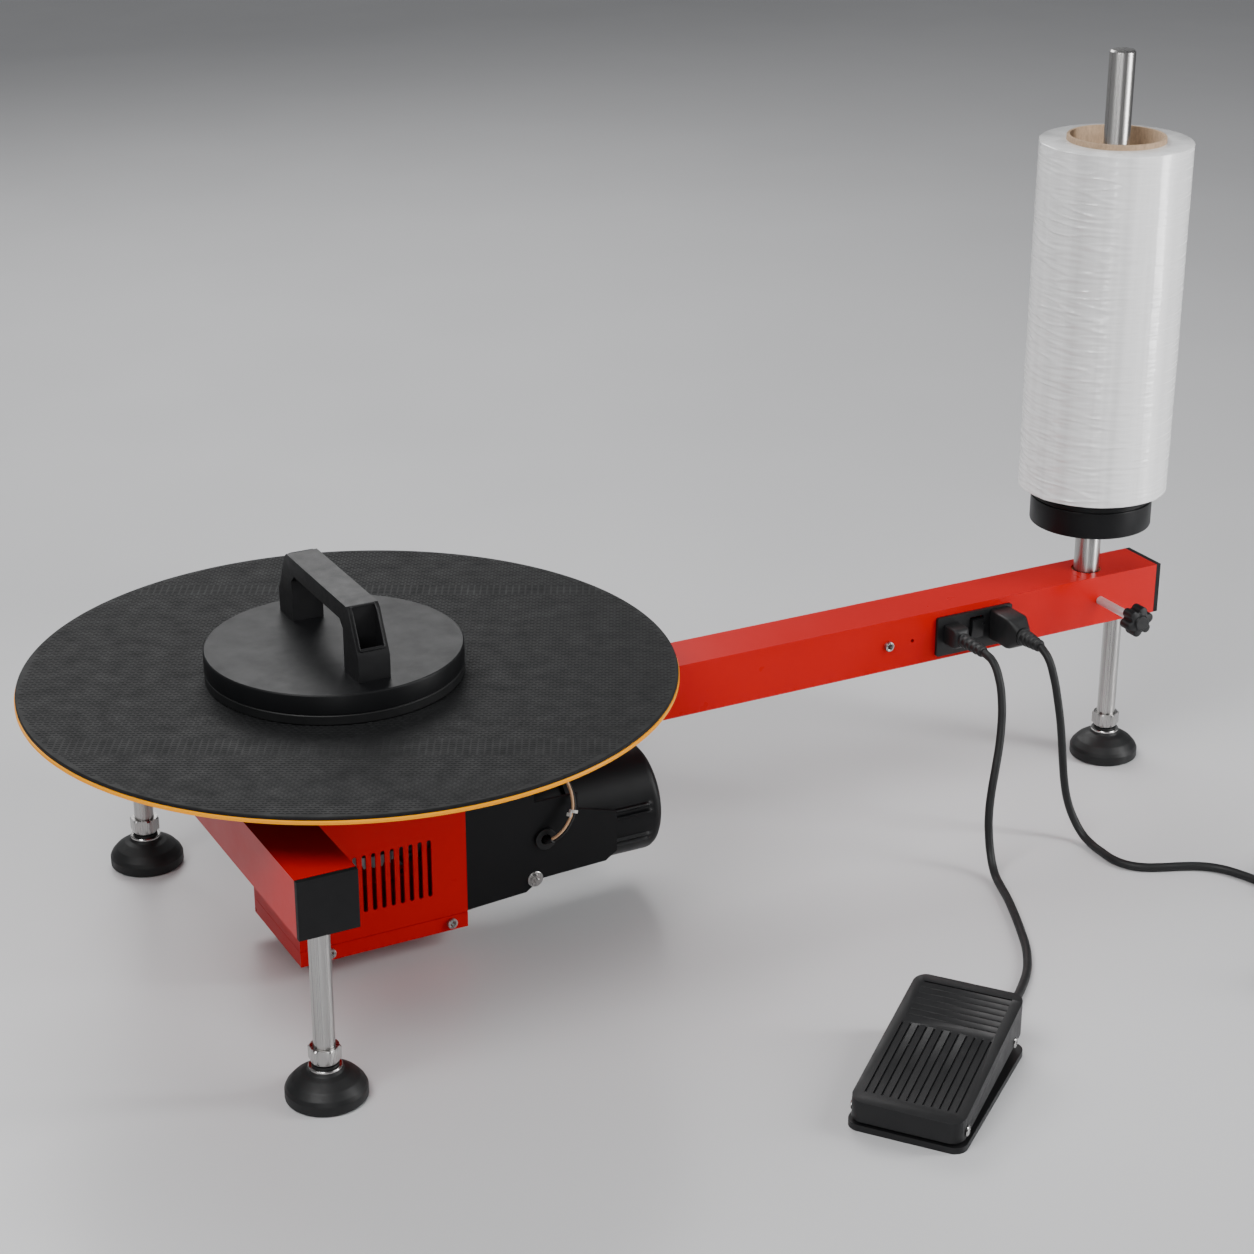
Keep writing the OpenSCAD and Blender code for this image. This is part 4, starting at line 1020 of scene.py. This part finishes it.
class WRAPPER_OT_beams(WrapperStep, bpy.types.Operator):
    """Builds the square tubes, their caps and the frame's screws"""

    bl_idname = "wrapper.beams"
    bl_label = "Beams"

    def execute(self, context):
        edge = self.sizes.tube_edge
        softened("arm_tube", "long_arm", edge, "red_paint", 3, longer=40 * MM)
        softened("cross_tube", "cross_beam", edge, "red_paint", 3, longer=40 * MM)
        softened("end_caps", "tube_caps", 0.9 * MM, "cap_plastic", 3, longer=20 * MM)
        spots = [(at(x, side * 50, 22.5), (0, side, 0)) for x in (-46, 56) for side in (-1, 1)]
        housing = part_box("bearing_housing")
        reach = (housing[1].x - housing[0].x) / 2 - 7 * MM
        for side in (-1, 1):
            spots.append((Vector((AXIS.x + side * reach, AXIS.y, housing[1].z)), (0, 0, 1)))
        spots.append((at(473, FACE, 164.5), (0, -1, 0)))
        head = socket_head("head", 4.25, 3, 4.6, -1.8)
        stamped("frame_screw_heads", head, spots, "brushed_steel", "frame", ("frame_screws",))
        softened("leg_collar_rings", "leg_collars", 0.35 * MM, "brushed_steel", 2)
        return {"FINISHED"}


class WRAPPER_OT_legs(WrapperStep, bpy.types.Operator):
    """Builds the three levelling legs and their feet"""

    bl_idname = "wrapper.legs"
    bl_label = "Legs and feet"

    def execute(self, context):
        for name in ("front", "rear", "right"):
            centre = middle(f"leg_{name}")
            centre.z = 0
            rod = lathe("rod", ((0, 41.5), (7.2, 41.5), (7.98, 42.3), (7.98, 173), (7, 174), (0, 174)),
                        centre, segments=64)
            nut = hex_prism("nut", 21, 30.5, 42, centre, chamfer=1.0)
            flange = lathe("flange", ((4.6, 29.2), (9.4, 29.2), (9.9, 29.7), (9.9, 30.6), (9.4, 31.1),
                                      (4.6, 31.1)), centre, ring=True, segments=64)
            ball = [(7 * math.sin(a), 16 - 7 * math.cos(a))
                    for a in (math.pi * k / 16 for k in range(12))]
            neck = lathe("neck", ((0, 9), *ball[1:], (4.5, 22), (4.5, 31), (0, 31)), centre, segments=48)
            dress(joined(f"{name}_levelling_leg", [rod, nut, flange, neck]), "brushed_steel",
                  f"{name}_leg", stands_for=(f"leg_{name}",))
            place = middle(f"foot_{name}")
            place.z = 0
            outer = rounded(
                ((0, 0), (28.4, 0), (30, 1.4), (30, 8.4), (28.6, 11.4), (24.4, 16.2), (17.4, 20.8),
                 (13.4, 22.6), (12.2, 24.6), (9.9, 25.2), (9.9, 28), (7.6, 28)),
                (0, 1, 1, 1.4, 2, 5, 8, 2, 1, 0.8, 0.5, 0), closed=False, steps=5)
            cup = [(7.35 * math.sin(a), 16 - 7.35 * math.cos(a))
                   for a in (math.pi / 2 * k / 8 for k in range(8, 0, -1))]
            body = lathe("body", (*outer, (7.4, 20), *cup, (0, 8.65)), place, segments=96)
            dress(body, "foot_rubber", f"{name}_foot", stands_for=(f"foot_{name}",)).name = (
                f"{name}_foot_pad")
            ring = lathe("ring", ((10.1, 24.9), (12.4, 24.9), (12.4, 25.9), (11.9, 26.5), (10.1, 26.5)),
                         place, ring=True, segments=64)
            dress(ring, "polished_steel", f"{name}_foot").name = f"{name}_foot_ring"
        return {"FINISHED"}


class WRAPPER_OT_casing(WrapperStep, bpy.types.Operator):
    """Builds the drive's casing and its tray"""

    bl_idname = "wrapper.casing"
    bl_label = "Drive casing"

    def execute(self, context):
        edge = self.sizes.sheet_edge
        softened("casing_shell", "drive_casing", edge * 1.4, "red_paint", 3, longer=20 * MM)
        softened("casing_floor", "casing_tray", edge, "red_paint", 3, longer=9 * MM)
        return {"FINISHED"}


class WRAPPER_OT_motor(WrapperStep, bpy.types.Operator):
    """Builds the motor, its bracket, bolts and wires"""

    bl_idname = "wrapper.motor"
    bl_label = "Motor"

    def execute(self, context):
        softened("bracket_sheet", "motor_bracket", 0.6 * MM, "black_paint", 2, longer=3 * MM)
        softened("motor_can", "motor_housing", 0.5 * MM, "black_paint", 2)
        self.bell()
        bolts = [hex_prism("bolt", 9.5 * math.cos(math.pi / 6), -0.2, 3, at(129, -50, 43), -Y, 0.6),
                 lathe("bolt_end", ((0, -7), (2.45, -7), (2.45, 4.6), (1.9, 5.2), (0, 5.2)),
                       at(129, -50, 43), -Y, 32),
                 lathe("washer", ((2.6, 0), (6.6, 0), (6.6, 0.7), (6.2, 1), (2.6, 1)),
                       at(129, -50, 43), -Y, 48, ring=True)]
        for x in (20, 42):
            spot = at(73 + x, 0, 139)
            bolts.append(hex_prism("bolt", 8.2, -0.1, 3, spot, -Z, 0.5))
        dress(joined("bracket_bolt_heads", bolts), "brushed_steel", "frame",
              stands_for=("bracket_bolts",))
        softened("grommet_rings", "cable_grommets", 0.5 * MM, "foot_rubber", 2)
        self.wires()
        return {"FINISHED"}

    def bell(self):
        """The end bell, with its ribs in pairs and its boss"""
        low = 165.0

        def ribs(angle, radius, height):
            if radius < 40 or not 26 < height < 72:
                return 1.0
            grown = min(1.0, (height - 26) / 4, (72 - height) / 4)
            reach = 0.0
            for place in (168, 202, 22, 55):
                away = abs((math.degrees(angle) - place + 180) % 360 - 180) - 3.6
                reach = max(reach, math.exp(-((away / 1.3) ** 4)))
            return 1.0 + grown * reach * 2.4 / 45

        wall = [(45, 0.4 + k * 76.0 / 38) for k in range(39)]
        profile = ((37.9, 0), (44.4, 0), *wall, (44.6, 78.4), (43.4, 80.4), (41, 82.2), (38, 83.5),
                   (34.6, 84), (14, 84), (13.2, 83.2), (9.6, 83.2), (9.2, 84), (8, 84), (8, 88.4),
                   (7.4, 89), (0, 89))
        inner = ((0, 74), (37.9, 74))
        def turned(angle, radius, height):
            return ribs(angle - math.pi / 2, radius, height)

        bell = lathe("motor_bell", (*inner, *profile), at(low, 0, 70), X, 240, shape=turned, sharp=40)
        dress(bell, "black_paint", "frame", stands_for=("motor_end_bell",))

    def wires(self):
        """Two wires in a sleeve, out of the bracket and up into the arm, with a tie"""
        route = ((138, -45, 77), (138, -53, 77), (140.5, -58, 79.5), (146.5, -61, 85), (153, -61, 92.5),
                 (157.5, -59.5, 101), (159.5, -55.5, 109.5), (160, -49, 117), (158.5, -41, 124),
                 (154.5, -32, 128), (150, -23, 131), (146.5, -16, 134), (145, -12.4, 139),
                 (145, -12, 148), (147, -11, 156), (158, -9, 162), (200, -8, 163), (360, -8, 163),
                 (530, -8, 163))
        wire = self.sizes.wire
        tan = strand("motor_wire_tan", [at(*p) for p in route], wire, "tan_wire", "frame",
                     ("motor_cable",), around=3, steps=5)
        other = [(x + 1.9, y + 0.3, z - 1.9) if i > 1 else (x + 1.2, y, z - 1.4)
                 for i, (x, y, z) in enumerate(route)]
        strand("motor_wire_dark", [at(*p) for p in other], wire, "cord_rubber", "frame", around=3,
               steps=5)
        sleeve = [at(x + 0.9, y, z - 0.9) for x, y, z in route[:3]]
        strand("motor_wire_sleeve", sleeve, 5.4 * MM, "cord_rubber", "frame", around=4, steps=6)
        spot = (at(*route[5]) + at(*other[5])) / 2
        along = (at(*route[6]) - at(*route[4])).normalized()
        band = lathe("band", ((2.7, -1.2), (3.6, -1.2), (3.6, 1.2), (2.7, 1.2)), spot, along, 32,
                     ring=True)
        block = prism("lock", ((-1.7, -1.9), (1.7, -1.9), (1.7, 1.9), (-1.7, 1.9)), 3.4,
                      facing(spot + Vector((-4.4, -2.2, 0)) * MM, along, Z), 0.3 * MM, 2)
        tail = prism("tail", ((-1.2, -0.5), (1.2, -0.5), (1.2, 0.5), (-1.2, 0.5)), 7.5,
                     facing(spot + Vector((-7, -2.6, 0.3)) * MM, along, Z), 0.15 * MM, 1)
        dress(joined("wire_tie", [band, block, tail]), "pale_tie", "frame")


class WRAPPER_OT_turntable(WrapperStep, bpy.types.Operator):
    """Builds the turntable's plate, edging and ribbed mat"""

    bl_idname = "wrapper.turntable"
    bl_label = "Turntable"

    def execute(self, context):
        foot = AXIS.copy()
        plate = lathe("table_plate", ((0, 225), (247.2, 225), (247.9, 225.6), (247.9, 229), (0, 229)),
                      foot, segments=256)
        dress(plate, "black_paint", "turntable", stands_for=("turntable_plate",))
        band = ((248, 226), (249.6, 226), (250, 226.3), (250, 227.0), (249.8, 227.15),
                (249.8, 227.3), (250, 227.45), (250, 228.7), (249.7, 229), (248, 229))
        edge = lathe("table_edge", band, foot, segments=256, ring=True, sharp=50)
        dress(edge, "yellow_edge", "turntable", stands_for=("edge_trim",))
        mat = ((0, 229), (248.8, 229), (249.2, 229.4), (249.2, 231.2), (248.6, 231.8), (247.6, 231.9),
               (0, 231.9))
        base = lathe("mat_base", mat, foot, segments=256)
        base.data.materials.append(finishes["mat_rubber"])
        rib = self.rib()
        mesh = bpy.data.meshes.new("mat_ribs")
        host = link(bpy.data.objects.new("mat_ribs", mesh))
        ribs = run_tree(host, rib_tree(), {
            "Rib": rib, "Radius": 0.2455, "Pitch": self.sizes.rib_pitch, "Row": self.sizes.rib_row,
            "Turn": math.radians(-27.7), "Finish": finishes["mat_rubber"]})
        bpy.data.objects.remove(rib)
        for point in ribs.data.vertices:
            point.co += foot + Vector((0, 0, 231.88 * MM))
        ribs.data.update()
        dress(base, "mat_rubber", "turntable", stands_for=("turntable_mat",))
        dress(ribs, "mat_rubber", "turntable")
        head = socket_head("hub_head", 4.25, 3, 4.4)
        low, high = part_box("hub_flange")
        reach = ((high.x - low.x) / 2 - 14 * MM) * math.sqrt(0.5)
        spots = [(AXIS + Vector((i * reach, j * reach, 219 * MM)), (0, 0, -1))
                 for i in (-1, 1) for j in (-1, 1)]
        stamped("hub_screw_heads", head, spots, "brushed_steel", "turntable", ("hub_screws",))
        softened("hub_plate", "hub_flange", 0.5 * MM, "machined_steel", 2)
        return {"FINISHED"}

    def rib(self):
        """One low rib of the mat, without its underside"""
        bm = bmesh.new()
        pitch, row, height = self.sizes.rib_pitch, self.sizes.rib_row, self.sizes.rib_height
        outline = ((-0.5, 0), (-0.36, -0.5), (0.36, -0.5), (0.5, 0), (0.36, 0.5), (-0.36, 0.5))
        low, high = (
            [bm.verts.new((x * pitch * a, y * row * b, z)) for x, y in outline]
            for a, b, z in ((0.82, 0.6, 0.0), (0.66, 0.3, height))
        )
        grid_faces(bm, [low, high], True, False)
        bm.faces.new(high)
        bmesh.ops.recalc_face_normals(bm, faces=bm.faces)
        obj = from_bmesh("rib", bm, 60)
        obj.data.materials.append(finishes["mat_rubber"])
        return obj


class WRAPPER_OT_weight(WrapperStep, bpy.types.Operator):
    """Builds the press weight and its handle"""

    bl_idname = "wrapper.weight"
    bl_label = "Press weight"

    def execute(self, context):
        centre = at(-12.5, -1, 0)
        pad = ((0, 232.35), (97, 232.35), (97.8, 233.1), (97.8, 239.4), (97, 240.2), (0, 240.2))
        dress(lathe("press_pad", pad, centre, segments=192), "foot_rubber", "press_weight",
              stands_for=("weight_pad",))
        plate = ((0, 240.25), (97.2, 240.25), (98, 241), (98, 254.8), (97.7, 255.6), (97, 256.2),
                 (0, 256.2))
        dress(lathe("press_plate", plate, centre, segments=192), "black_paint", "press_weight",
              stands_for=("weight_plate",))
        softened("lift_handle", "weight_handle", 1.3 * MM, "black_plastic", 3, longer=2 * MM)
        rims = [self.rim(side) for side in (-1, 1)]
        dress(joined("handle_pocket_rims", rims), "black_plastic", "press_weight")
        head = socket_head("handle_head", 4.25, 4, 4.6)
        spots = [(at(-12.5, -1 + side * 69, 260.3), (0, 0, 1)) for side in (-1, 1)]
        stamped("handle_screw_heads", head, spots, "polished_steel", "press_weight",
                ("handle_screws",))
        return {"FINISHED"}

    def rim(self, side):
        """A raised lip round the open pocket in one sloping end of the handle"""
        wide, corners = 9.9, ((-77.4, 23.9), (-64.6, 49.5), (-60.8, 52.4))
        loop = [(wide, *corners[0]), (wide, *corners[1]), (wide, *corners[2]),
                (-wide, *corners[2]), (-wide, *corners[1]), (-wide, *corners[0])]
        points = [at(-12.5 + x, -1 - side * y, 256.3 + z - 0.3) for x, y, z in loop]
        return bead("rim", points, 2.0 * MM, 1.8)


class WRAPPER_OT_film(WrapperStep, bpy.types.Operator):
    """Builds the film post, its spool and the roll of film on its core"""

    bl_idname = "wrapper.film"
    bl_label = "Film and post"

    def execute(self, context):
        centre = middle("film_post")
        centre.z = 0
        post = ((0, 145.5), (10.4, 145.5), (10.97, 146.1), (10.97, 298.8), (10.78, 299.1),
                (10.78, 637.4), (10.6, 637.7), (9.4, 638.9), (9.1, 639), (0, 639))
        dress(lathe("post_rod", post, centre, segments=96), "brushed_steel", "film_spool",
              stands_for=("film_post",))
        spool = ((11.02, 233), (50.8, 233), (51.7, 233.4), (52, 234.2), (52, 255.6), (51.7, 256.1),
                 (50.7, 256.3), (50.7, 257), (51.7, 257.2), (52, 257.7), (52, 260), (51.6, 260.7),
                 (50.8, 261), (37.5, 261), (37.5, 298), (36.6, 299), (11.02, 299))
        dress(lathe("spool_cup", spool, centre, segments=160, ring=True, sharp=28), "black_paint",
              "film_spool", stands_for=("spool_flange",))
        core = ((38, 261.8), (38.4, 261.35), (40.6, 261.35), (41, 261.8), (41, 568.7), (40.6, 569.3),
                (38.4, 569.3), (38, 568.7))
        dress(lathe("card_core", core, centre, segments=128, ring=True), "cardboard", "film_reel",
              stands_for=("film_core",))
        self.roll(centre)
        return {"FINISHED"}

    def roll(self, centre):
        """The wound film, with wrinkles round one side and soft bands along it"""
        size = self.sizes.wrinkle / MM

        def reach(angle, radius, height):
            if radius < 63:
                return 1.0
            c, s = math.cos(angle), math.sin(angle)
            away = (math.degrees(angle) - 198 + 180) % 360 - 180
            side = math.exp(-((away / 46) ** 2))
            folds = noise.noise(Vector((c * 1.6 + 3, s * 1.6, height * 0.13)))
            folds = 1 - abs(folds) * 4.5
            fine = noise.noise(Vector((c * 4, s * 4 + 7, height * 0.42)))
            band = noise.noise(Vector((c * 5 + 11, s * 5, height * 0.004)))
            slow = noise.noise(Vector((c * 2, s * 2 + 5, height * 0.02)))
            lift = size * (side * (0.9 * max(folds, 0) + 0.55 * fine) + 0.22 * band + 0.25 * slow)
            lift += size * 0.12 * fine
            return 1.0 + (lift - size * 0.5) / radius

        steps = 330
        low, high = 265.6, 565.0
        wall = [(64, low + 0.6 + (high - low - 1.2) * k / steps) for k in range(steps + 1)]
        profile = ((41.05, low), (62.6, low), *wall, (62.6, high), (41.05, high))
        roll = lathe("film_wound", profile, centre, segments=260, ring=True, shape=reach, sharp=50)
        dress(roll, "film", "film_reel", stands_for=("film_roll",))


class WRAPPER_OT_brake(WrapperStep, bpy.types.Operator):
    """Builds the brake screw and its star knob"""

    bl_idname = "wrapper.brake"
    bl_label = "Brake knob"

    def execute(self, context):
        def star(angle, radius, _height):
            if radius < 9:
                return 1.0
            part = (angle - math.radians(15) + math.pi / 6) % (math.pi / 3) - math.pi / 6
            across = 9.3 * math.sin(part)
            lobe = 9.3 * math.cos(part) + math.sqrt(max(4.2**2 - across**2, 0))
            if abs(across) > 4.2:
                lobe = 0
            return max(lobe, 9.99) / 13.5

        back = at(FILM_X, -64.5, 164.5)
        knob = ((0, 0), (6.2, 0), (6.75, 0.6), (6.75, 3), (12.2, 3.05), (13.2, 3.5), (13.5, 4.4),
                (13.5, 14.2), (13.2, 15.1), (12.3, 15.7), (9.2, 16), (6.9, 16.4), (6.6, 17.4),
                (6, 18), (0, 18))
        dress(lathe("star_knob", knob, back, -Y, 180, shape=star, sharp=32), "black_plastic",
              "brake_screw", stands_for=("brake_knob",))
        tip = at(FILM_X, -14.5, 164.5)
        rod = ((0, 0), (3.4, 0.1), (3.72, 0.6), (3.72, 51.8), (0, 51.8))
        dress(lathe("brake_rod", rod, tip, -Y, 48), "zinc_plated", "brake_screw")
        return {"FINISHED"}


class WRAPPER_OT_panel(WrapperStep, bpy.types.Operator):
    """Builds the connection panel, its sockets and its switch"""

    bl_idname = "wrapper.panel"
    bl_label = "Connection panel"

    def execute(self, context):
        softened("panel_face", "panel_plate", 0.9 * MM, "black_plastic", 3, longer=12 * MM)
        softened("inlet_body", "mains_inlet", 0.35 * MM, "switch_plastic", 2, longer=3 * MM)
        softened("jack_body", "pedal_socket", 0.35 * MM, "switch_plastic", 2, longer=3 * MM)
        softened("rocker", "rocker_switch", 0.5 * MM, "switch_plastic", 3, longer=3 * MM)
        return {"FINISHED"}


class WRAPPER_OT_pedal(WrapperStep, bpy.types.Operator):
    """Builds the foot pedal's base, grooved treadle, screws and gland"""

    bl_idname = "wrapper.pedal"
    bl_label = "Foot pedal"

    def execute(self, context):
        softened("pedal_tray", "pedal_base", 0.9 * MM, "black_plastic", 3, longer=2 * MM)
        softened("pedal_top", "pedal_treadle", 2.2 * MM, "black_plastic", 4,
                 cutters=[self.grooves()])
        softened("pedal_microswitch", "pedal_switch", 0.4 * MM, "switch_plastic", 2)
        self.spring()
        pins, along = [], (PEDAL.to_3x3() @ Y).normalized()
        pins.append(lathe("shaft", ((0, -42.2), (2.45, -42.2), (2.45, 42.2), (0, 42.2)),
                          pedal_at(-62, 0, 13), along, 32))
        dome = ((0, 0), (3.9, 0), (4, 0.3), (3.7, 0.8), (2.9, 1.25), (1.6, 1.45), (0, 1.5))
        for side in (-1, 1):
            pins.append(lathe("head", dome, pedal_at(-62, side * 41.8, 13), along * side, 32))
        dress(joined("pedal_pin", pins), "polished_steel", "frame", stands_for=("pedal_pivot_pin",))
        screws = []
        for side in (-1, 1):
            foot = pedal_at(50, side * 41.55, 20.5)
            screws.append(lathe("screw", ((0, -7), (1.9, -7), (1.9, -0.1), (3.9, -0.1), (4, 0.4),
                                          (3.6, 1.1), (2.4, 1.5), (1.6, 1.5), (1.5, 0.7), (0, 0.6)),
                                foot, along * side, 32))
        dress(joined("treadle_screws", screws), "polished_steel", "treadle")
        out = (PEDAL.to_3x3() @ X).normalized()
        gland = ((0, -3), (4.45, -3), (4.45, 0), *ribbed_profile(6.2, 4.3, 0, 24.5, 6, 0.7)[1:])
        obj = soften(lathe("pedal_relief", gland, pedal_at(67.5, -12, 11), out, 40), 0.2 * MM, 2, 25)
        dress(obj, "cord_rubber", "frame", stands_for=("pedal_gland",))
        return {"FINISHED"}

    def spring(self):
        """The return spring at its pressed height, so that it stays under the treadle in every pose"""
        low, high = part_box("pedal_spring")
        shorter = 7.5 * MM  # the treadle's travel above the spring, and some room
        share = 1 - shorter / (high.z - low.z)
        bm = bmesh.new()
        bm.from_mesh(frame["nodes"]["pedal_spring"].data)
        for layer in list(bm.loops.layers.uv.values()):
            bm.loops.layers.uv.remove(layer)
        for vert in bm.verts:
            vert.co.z = low.z + (vert.co.z - low.z) * share
        dress(from_bmesh("treadle_spring", bm), "polished_steel", "frame", stands_for=("pedal_spring",))

    def grooves(self):
        """Bars that cut the grooves: along the pedal's front and across its rear"""
        width, depth = self.sizes.groove_width / MM, self.sizes.groove_depth / MM
        bars = []
        for k in range(12):
            v = -33 + k * 6.0
            bars.append((-62, 18, v - width / 2, v + width / 2))
        for k in range(7):
            u = 27 + k * 6.4
            bars.append((u - width / 2, u + width / 2, -33.5, 33.5))
        bm = bmesh.new()
        for u0, u1, v0, v1 in bars:
            corners = []
            for lift in (-depth, 4):
                spread = width * 0.12 * (1 if lift > 0 else -1)
                for u, v in ((u0 - spread, v0 - spread), (u1 + spread, v0 - spread),
                             (u1 + spread, v1 + spread), (u0 - spread, v1 + spread)):
                    height = 23 + 24 * (u + 75) / 150 + lift
                    corners.append(bm.verts.new(pedal_at(u, v, height)))
            for a, b, c, d in ((0, 3, 2, 1), (4, 5, 6, 7), (0, 1, 5, 4), (1, 2, 6, 5), (2, 3, 7, 6),
                               (3, 0, 4, 7)):
                bm.faces.new([corners[i] for i in (a, b, c, d)])
        bmesh.ops.recalc_face_normals(bm, faces=bm.faces)
        return from_bmesh("groove_bars", bm)


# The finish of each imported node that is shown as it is
PLAIN_NODES = {
    "machined_steel": ("bearing_housing", "motor_stator", "spindle", "crown_gear", "motor_rotor",
                       "drive_pinion"),
    "polished_steel": ("spindle_bearings", "bearing_inner_rings"),
    "bronze": ("post_bushes", "brake_pad"),
}


class WRAPPER_OT_plain_nodes(WrapperStep, bpy.types.Operator):
    """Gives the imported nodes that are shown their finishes"""

    bl_idname = "wrapper.plain_nodes"
    bl_label = "Inner parts"

    def execute(self, context):
        for finish, nodes in PLAIN_NODES.items():
            for node in nodes:
                data = frame["nodes"][node].data
                data.materials.clear()
                data.materials.append(finishes[finish])
        return {"FINISHED"}


class WRAPPER_OT_stage(WrapperStep, bpy.types.Operator):
    """Adds the pale floor and soft studio light"""

    bl_idname = "wrapper.stage"
    bl_label = "Floor and light"

    def execute(self, context):
        world = bpy.data.worlds.new("studio")
        context.scene.world = world
        world.use_nodes = True
        nodes, links = world.node_tree.nodes, world.node_tree.links
        sky = nodes["Background"]
        sky.inputs["Strength"].default_value = 0.3
        coords = nodes.new("ShaderNodeTexCoord")
        apart = nodes.new("ShaderNodeSeparateXYZ")
        ramp = nodes.new("ShaderNodeValToRGB")
        turned = nodes.new("ShaderNodeMapping")
        turned.inputs["Rotation"].default_value = (0, 0, math.radians(35))
        links.new(coords.outputs["Generated"], turned.inputs["Vector"])
        links.new(turned.outputs[0], apart.inputs[0])
        links.new(apart.outputs["X"], ramp.inputs[0])
        stops = ramp.color_ramp.elements
        stops[0].position, stops[0].color = 0.0, (0.78, 0.79, 0.81, 1)
        stops[1].position, stops[1].color = 0.75, (0.30, 0.31, 0.33, 1)
        links.new(ramp.outputs[0], sky.inputs["Color"])
        bm = bmesh.new()
        bmesh.ops.create_grid(bm, x_segments=1, y_segments=1, size=12)
        floor = from_bmesh("floor", bm)
        floor.location.z = -0.0001
        paint = Finish("floor", self.colours.floor, 0.34).set("Specular IOR Level", 0.5)
        here = paint.coords()
        paint.tint(paint.noise(here, 1.5, 3), 0.03)
        paint.rough(paint.noise(here, 5, 3), 0.3, 0.4)
        floor.data.materials.append(paint.mat)
        for name, spot, target, size, power in (
            ("key", (-1300, -900, 2300), (0, 0, 200), (1.6, 1.2), 56),
            ("fill", (1900, -1700, 1700), (300, 0, 200), (1.2, 1.4), 14),
            ("back", (300, 2200, 2000), (200, 0, 250), (2.4, 1.2), 50),
            ("strip", (1500, -900, 700), (692, 0, 420), (0.3, 1.7), 22),
            ("side", (-700, -1900, 600), (300, 0, 300), (0.16, 1.5), 7),
        ):
            data = bpy.data.lights.new(name, "AREA")
            data.shape = "RECTANGLE"
            data.size, data.size_y = size
            data.energy = power
            light = link(bpy.data.objects.new(name, data))
            light.location = at(*spot)
            light.rotation_euler = (at(*target) - at(*spot)).to_track_quat("-Z", "Y").to_euler()
        return {"FINISHED"}


STEPS = (
    WRAPPER_OT_camera, WRAPPER_OT_finishes, WRAPPER_OT_mains_lead, WRAPPER_OT_pedal_lead,
    WRAPPER_OT_beams, WRAPPER_OT_legs, WRAPPER_OT_casing, WRAPPER_OT_motor, WRAPPER_OT_turntable,
    WRAPPER_OT_weight, WRAPPER_OT_film, WRAPPER_OT_brake, WRAPPER_OT_panel, WRAPPER_OT_pedal,
    WRAPPER_OT_plain_nodes, WRAPPER_OT_stage,
)


class WRAPPER_PT_build(bpy.types.Panel):
    """Lists the steps and the settings they read"""

    bl_idname = "WRAPPER_PT_build"
    bl_label = "Pallet wrapper"
    bl_space_type = "VIEW_3D"
    bl_region_type = "UI"
    bl_category = "Wrapper"

    def draw(self, context):
        column = self.layout.column(align=True)
        for step in STEPS:
            column.operator(step.bl_idname)
        for settings in (context.scene.wrapper_sizes, context.scene.wrapper_colours):
            box = self.layout.box()
            for name in settings.__annotations__:
                box.prop(settings, name)


CLASSES = (WrapperColours, WrapperSizes, *STEPS, WRAPPER_PT_build)


def register():
    for made in CLASSES:
        bpy.utils.register_class(made)
    bpy.types.Scene.wrapper_sizes = bpy.props.PointerProperty(type=WrapperSizes)
    bpy.types.Scene.wrapper_colours = bpy.props.PointerProperty(type=WrapperColours)


def unregister():
    del bpy.types.Scene.wrapper_colours
    del bpy.types.Scene.wrapper_sizes
    for made in reversed(CLASSES):
        bpy.utils.unregister_class(made)


def main():
    """Runs every step in order"""
    register()
    for step in STEPS:
        getattr(bpy.ops.wrapper, step.bl_idname.split(".")[1])()


if __name__ == "__main__":
    main()
